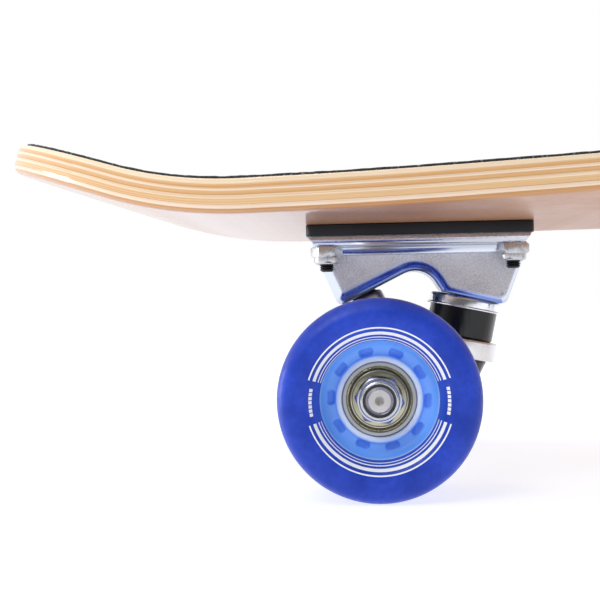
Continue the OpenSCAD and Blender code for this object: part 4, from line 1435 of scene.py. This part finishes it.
class SKATEBOARD_OT_stage(bpy.types.Operator):
    """Adds the pale floor, the soft studio lights and the camera"""

    bl_idname = "skateboard.stage"
    bl_label = "Stage"

    def execute(self, context):
        s = bpy.context.scene.skateboard_stage
        bpy.ops.object.select_all(action="DESELECT")
        bpy.ops.mesh.primitive_plane_add(size=14, location=(0, 0, 0))
        floor = named("floor")
        floor_paint = Finish("floor_paint", Base_Color=s.floor_white, Roughness=0.85,
                             Emission_Color=(0.97, 0.98, 1.0), Emission_Strength=0.78)
        paint(floor, floor_paint.material)
        self.room()
        self.light("key", (-0.9, -1.1, 1.3), 0.8, 12)
        self.light("top", (-0.5, 0.3, 1.6), 0.9, 8)
        self.light("side", (-1.25, 0.12, 0.14), 0.28, 3)
        self.camera(s)
        scene = bpy.context.scene
        scene.view_settings.view_transform = "Standard"
        scene.view_settings.look = "None"
        return {"FINISHED"}

    def room(self):
        """White tent above and behind the board, dimmer towards the front, seen as plain white."""
        world = bpy.data.worlds.new("studio")
        world.use_nodes = True
        tree = world.node_tree
        out = tree.nodes["World Output"]
        place = tree.nodes.new("ShaderNodeTexCoord")
        split = tree.nodes.new("ShaderNodeSeparateXYZ")
        ramp = tree.nodes.new("ShaderNodeValToRGB")
        tent = tree.nodes["Background"]
        plain = tree.nodes.new("ShaderNodeBackground")
        path = tree.nodes.new("ShaderNodeLightPath")
        mix = tree.nodes.new("ShaderNodeMixShader")
        depth = tree.nodes.new("ShaderNodeMapRange")
        depth.inputs["From Min"].default_value = -1
        depth.inputs["From Max"].default_value = 1
        tree.links.new(place.outputs["Generated"], split.inputs["Vector"])
        tree.links.new(split.outputs["Y"], depth.inputs["Value"])
        tree.links.new(depth.outputs["Result"], ramp.inputs["Fac"])
        for element, (spot, level) in zip(ramp.color_ramp.elements, ((0.12, 0.14), (0.60, 1.0))):
            element.position = spot
            element.color = (level, level, level * 1.01, 1)
        tree.links.new(ramp.outputs["Color"], tent.inputs["Color"])
        plain.inputs["Color"].default_value = (1, 1, 1, 1)
        tree.links.new(path.outputs["Is Camera Ray"], mix.inputs["Fac"])
        tree.links.new(tent.outputs["Background"], mix.inputs[1])
        tree.links.new(plain.outputs["Background"], mix.inputs[2])
        tree.links.new(mix.outputs["Shader"], out.inputs["Surface"])
        bpy.context.scene.world = world

    def light(self, name, place, size, power):
        data = bpy.data.lights.new(name, "AREA")
        data.energy = power
        data.size = size
        lamp = bpy.data.objects.new(name, data)
        bpy.context.scene.collection.objects.link(lamp)
        lamp.location = place
        lamp.rotation_euler = (Vector((-0.2, 0, 0.05)) - Vector(place)).to_track_quat("-Z", "Y").to_euler()

    def camera(self, s):
        data = bpy.data.cameras.new("camera")
        data.lens = s.lens
        data.sensor_width = 36
        data.clip_start = 0.01
        cam = bpy.data.objects.new("camera", data)
        bpy.context.scene.collection.objects.link(cam)
        yaw, pitch, roll = math.radians(3.35), math.radians(0.16), math.radians(1.13)
        turn = (
            Matrix.Rotation(yaw, 4, "Z")
            @ Matrix.Rotation(math.pi / 2 + pitch, 4, "X")
            @ Matrix.Rotation(-roll, 4, "Z")
        )
        spot = Matrix.Translation((
            (-AXLE_X - 0.75) * MM, -s.view_distance * MM, (AXLE_Z + 28.2) * MM
        ))
        cam.matrix_world = spot @ turn
        bpy.context.scene.camera = cam


class SKATEBOARD_PT_panel(bpy.types.Panel):
    """Lists the skateboard's pieces"""

    bl_idname = "SKATEBOARD_PT_panel"
    bl_label = "Skateboard"
    bl_space_type = "VIEW_3D"
    bl_region_type = "UI"
    bl_category = "Skateboard"

    def draw(self, context):
        for cls in OPERATORS:
            self.layout.operator(cls.bl_idname)
        for name in SETTINGS:
            group = getattr(context.scene, name)
            for key in group.bl_rna.properties.keys():
                if key not in ("name", "rna_type"):
                    self.layout.prop(group, key)


OPERATORS = (
    SKATEBOARD_OT_stage,
    SKATEBOARD_OT_deck,
    SKATEBOARD_OT_grip,
    SKATEBOARD_OT_risers,
    SKATEBOARD_OT_baseplates,
    SKATEBOARD_OT_bolts,
    SKATEBOARD_OT_nuts,
    SKATEBOARD_OT_kingpin_stack,
    SKATEBOARD_OT_hangers,
    SKATEBOARD_OT_plain_hardware,
    SKATEBOARD_OT_wheels,
)
SETTINGS = {
    "skateboard_deck": SkateboardDeckSettings,
    "skateboard_truck": SkateboardTruckSettings,
    "skateboard_wheel": SkateboardWheelSettings,
    "skateboard_stage": SkateboardStageSettings,
}


def register():
    for name, cls in SETTINGS.items():
        bpy.utils.register_class(cls)
        setattr(bpy.types.Scene, name, bpy.props.PointerProperty(type=cls))
    for cls in (*OPERATORS, SKATEBOARD_PT_panel):
        bpy.utils.register_class(cls)


def unregister():
    for cls in (SKATEBOARD_PT_panel, *reversed(OPERATORS)):
        bpy.utils.unregister_class(cls)
    for name, cls in SETTINGS.items():
        delattr(bpy.types.Scene, name)
        bpy.utils.unregister_class(cls)


def main():
    register()
    for cls in OPERATORS:
        group, name = cls.bl_idname.split(".")
        getattr(getattr(bpy.ops, group), name)()


if __name__ == "__main__":
    main()
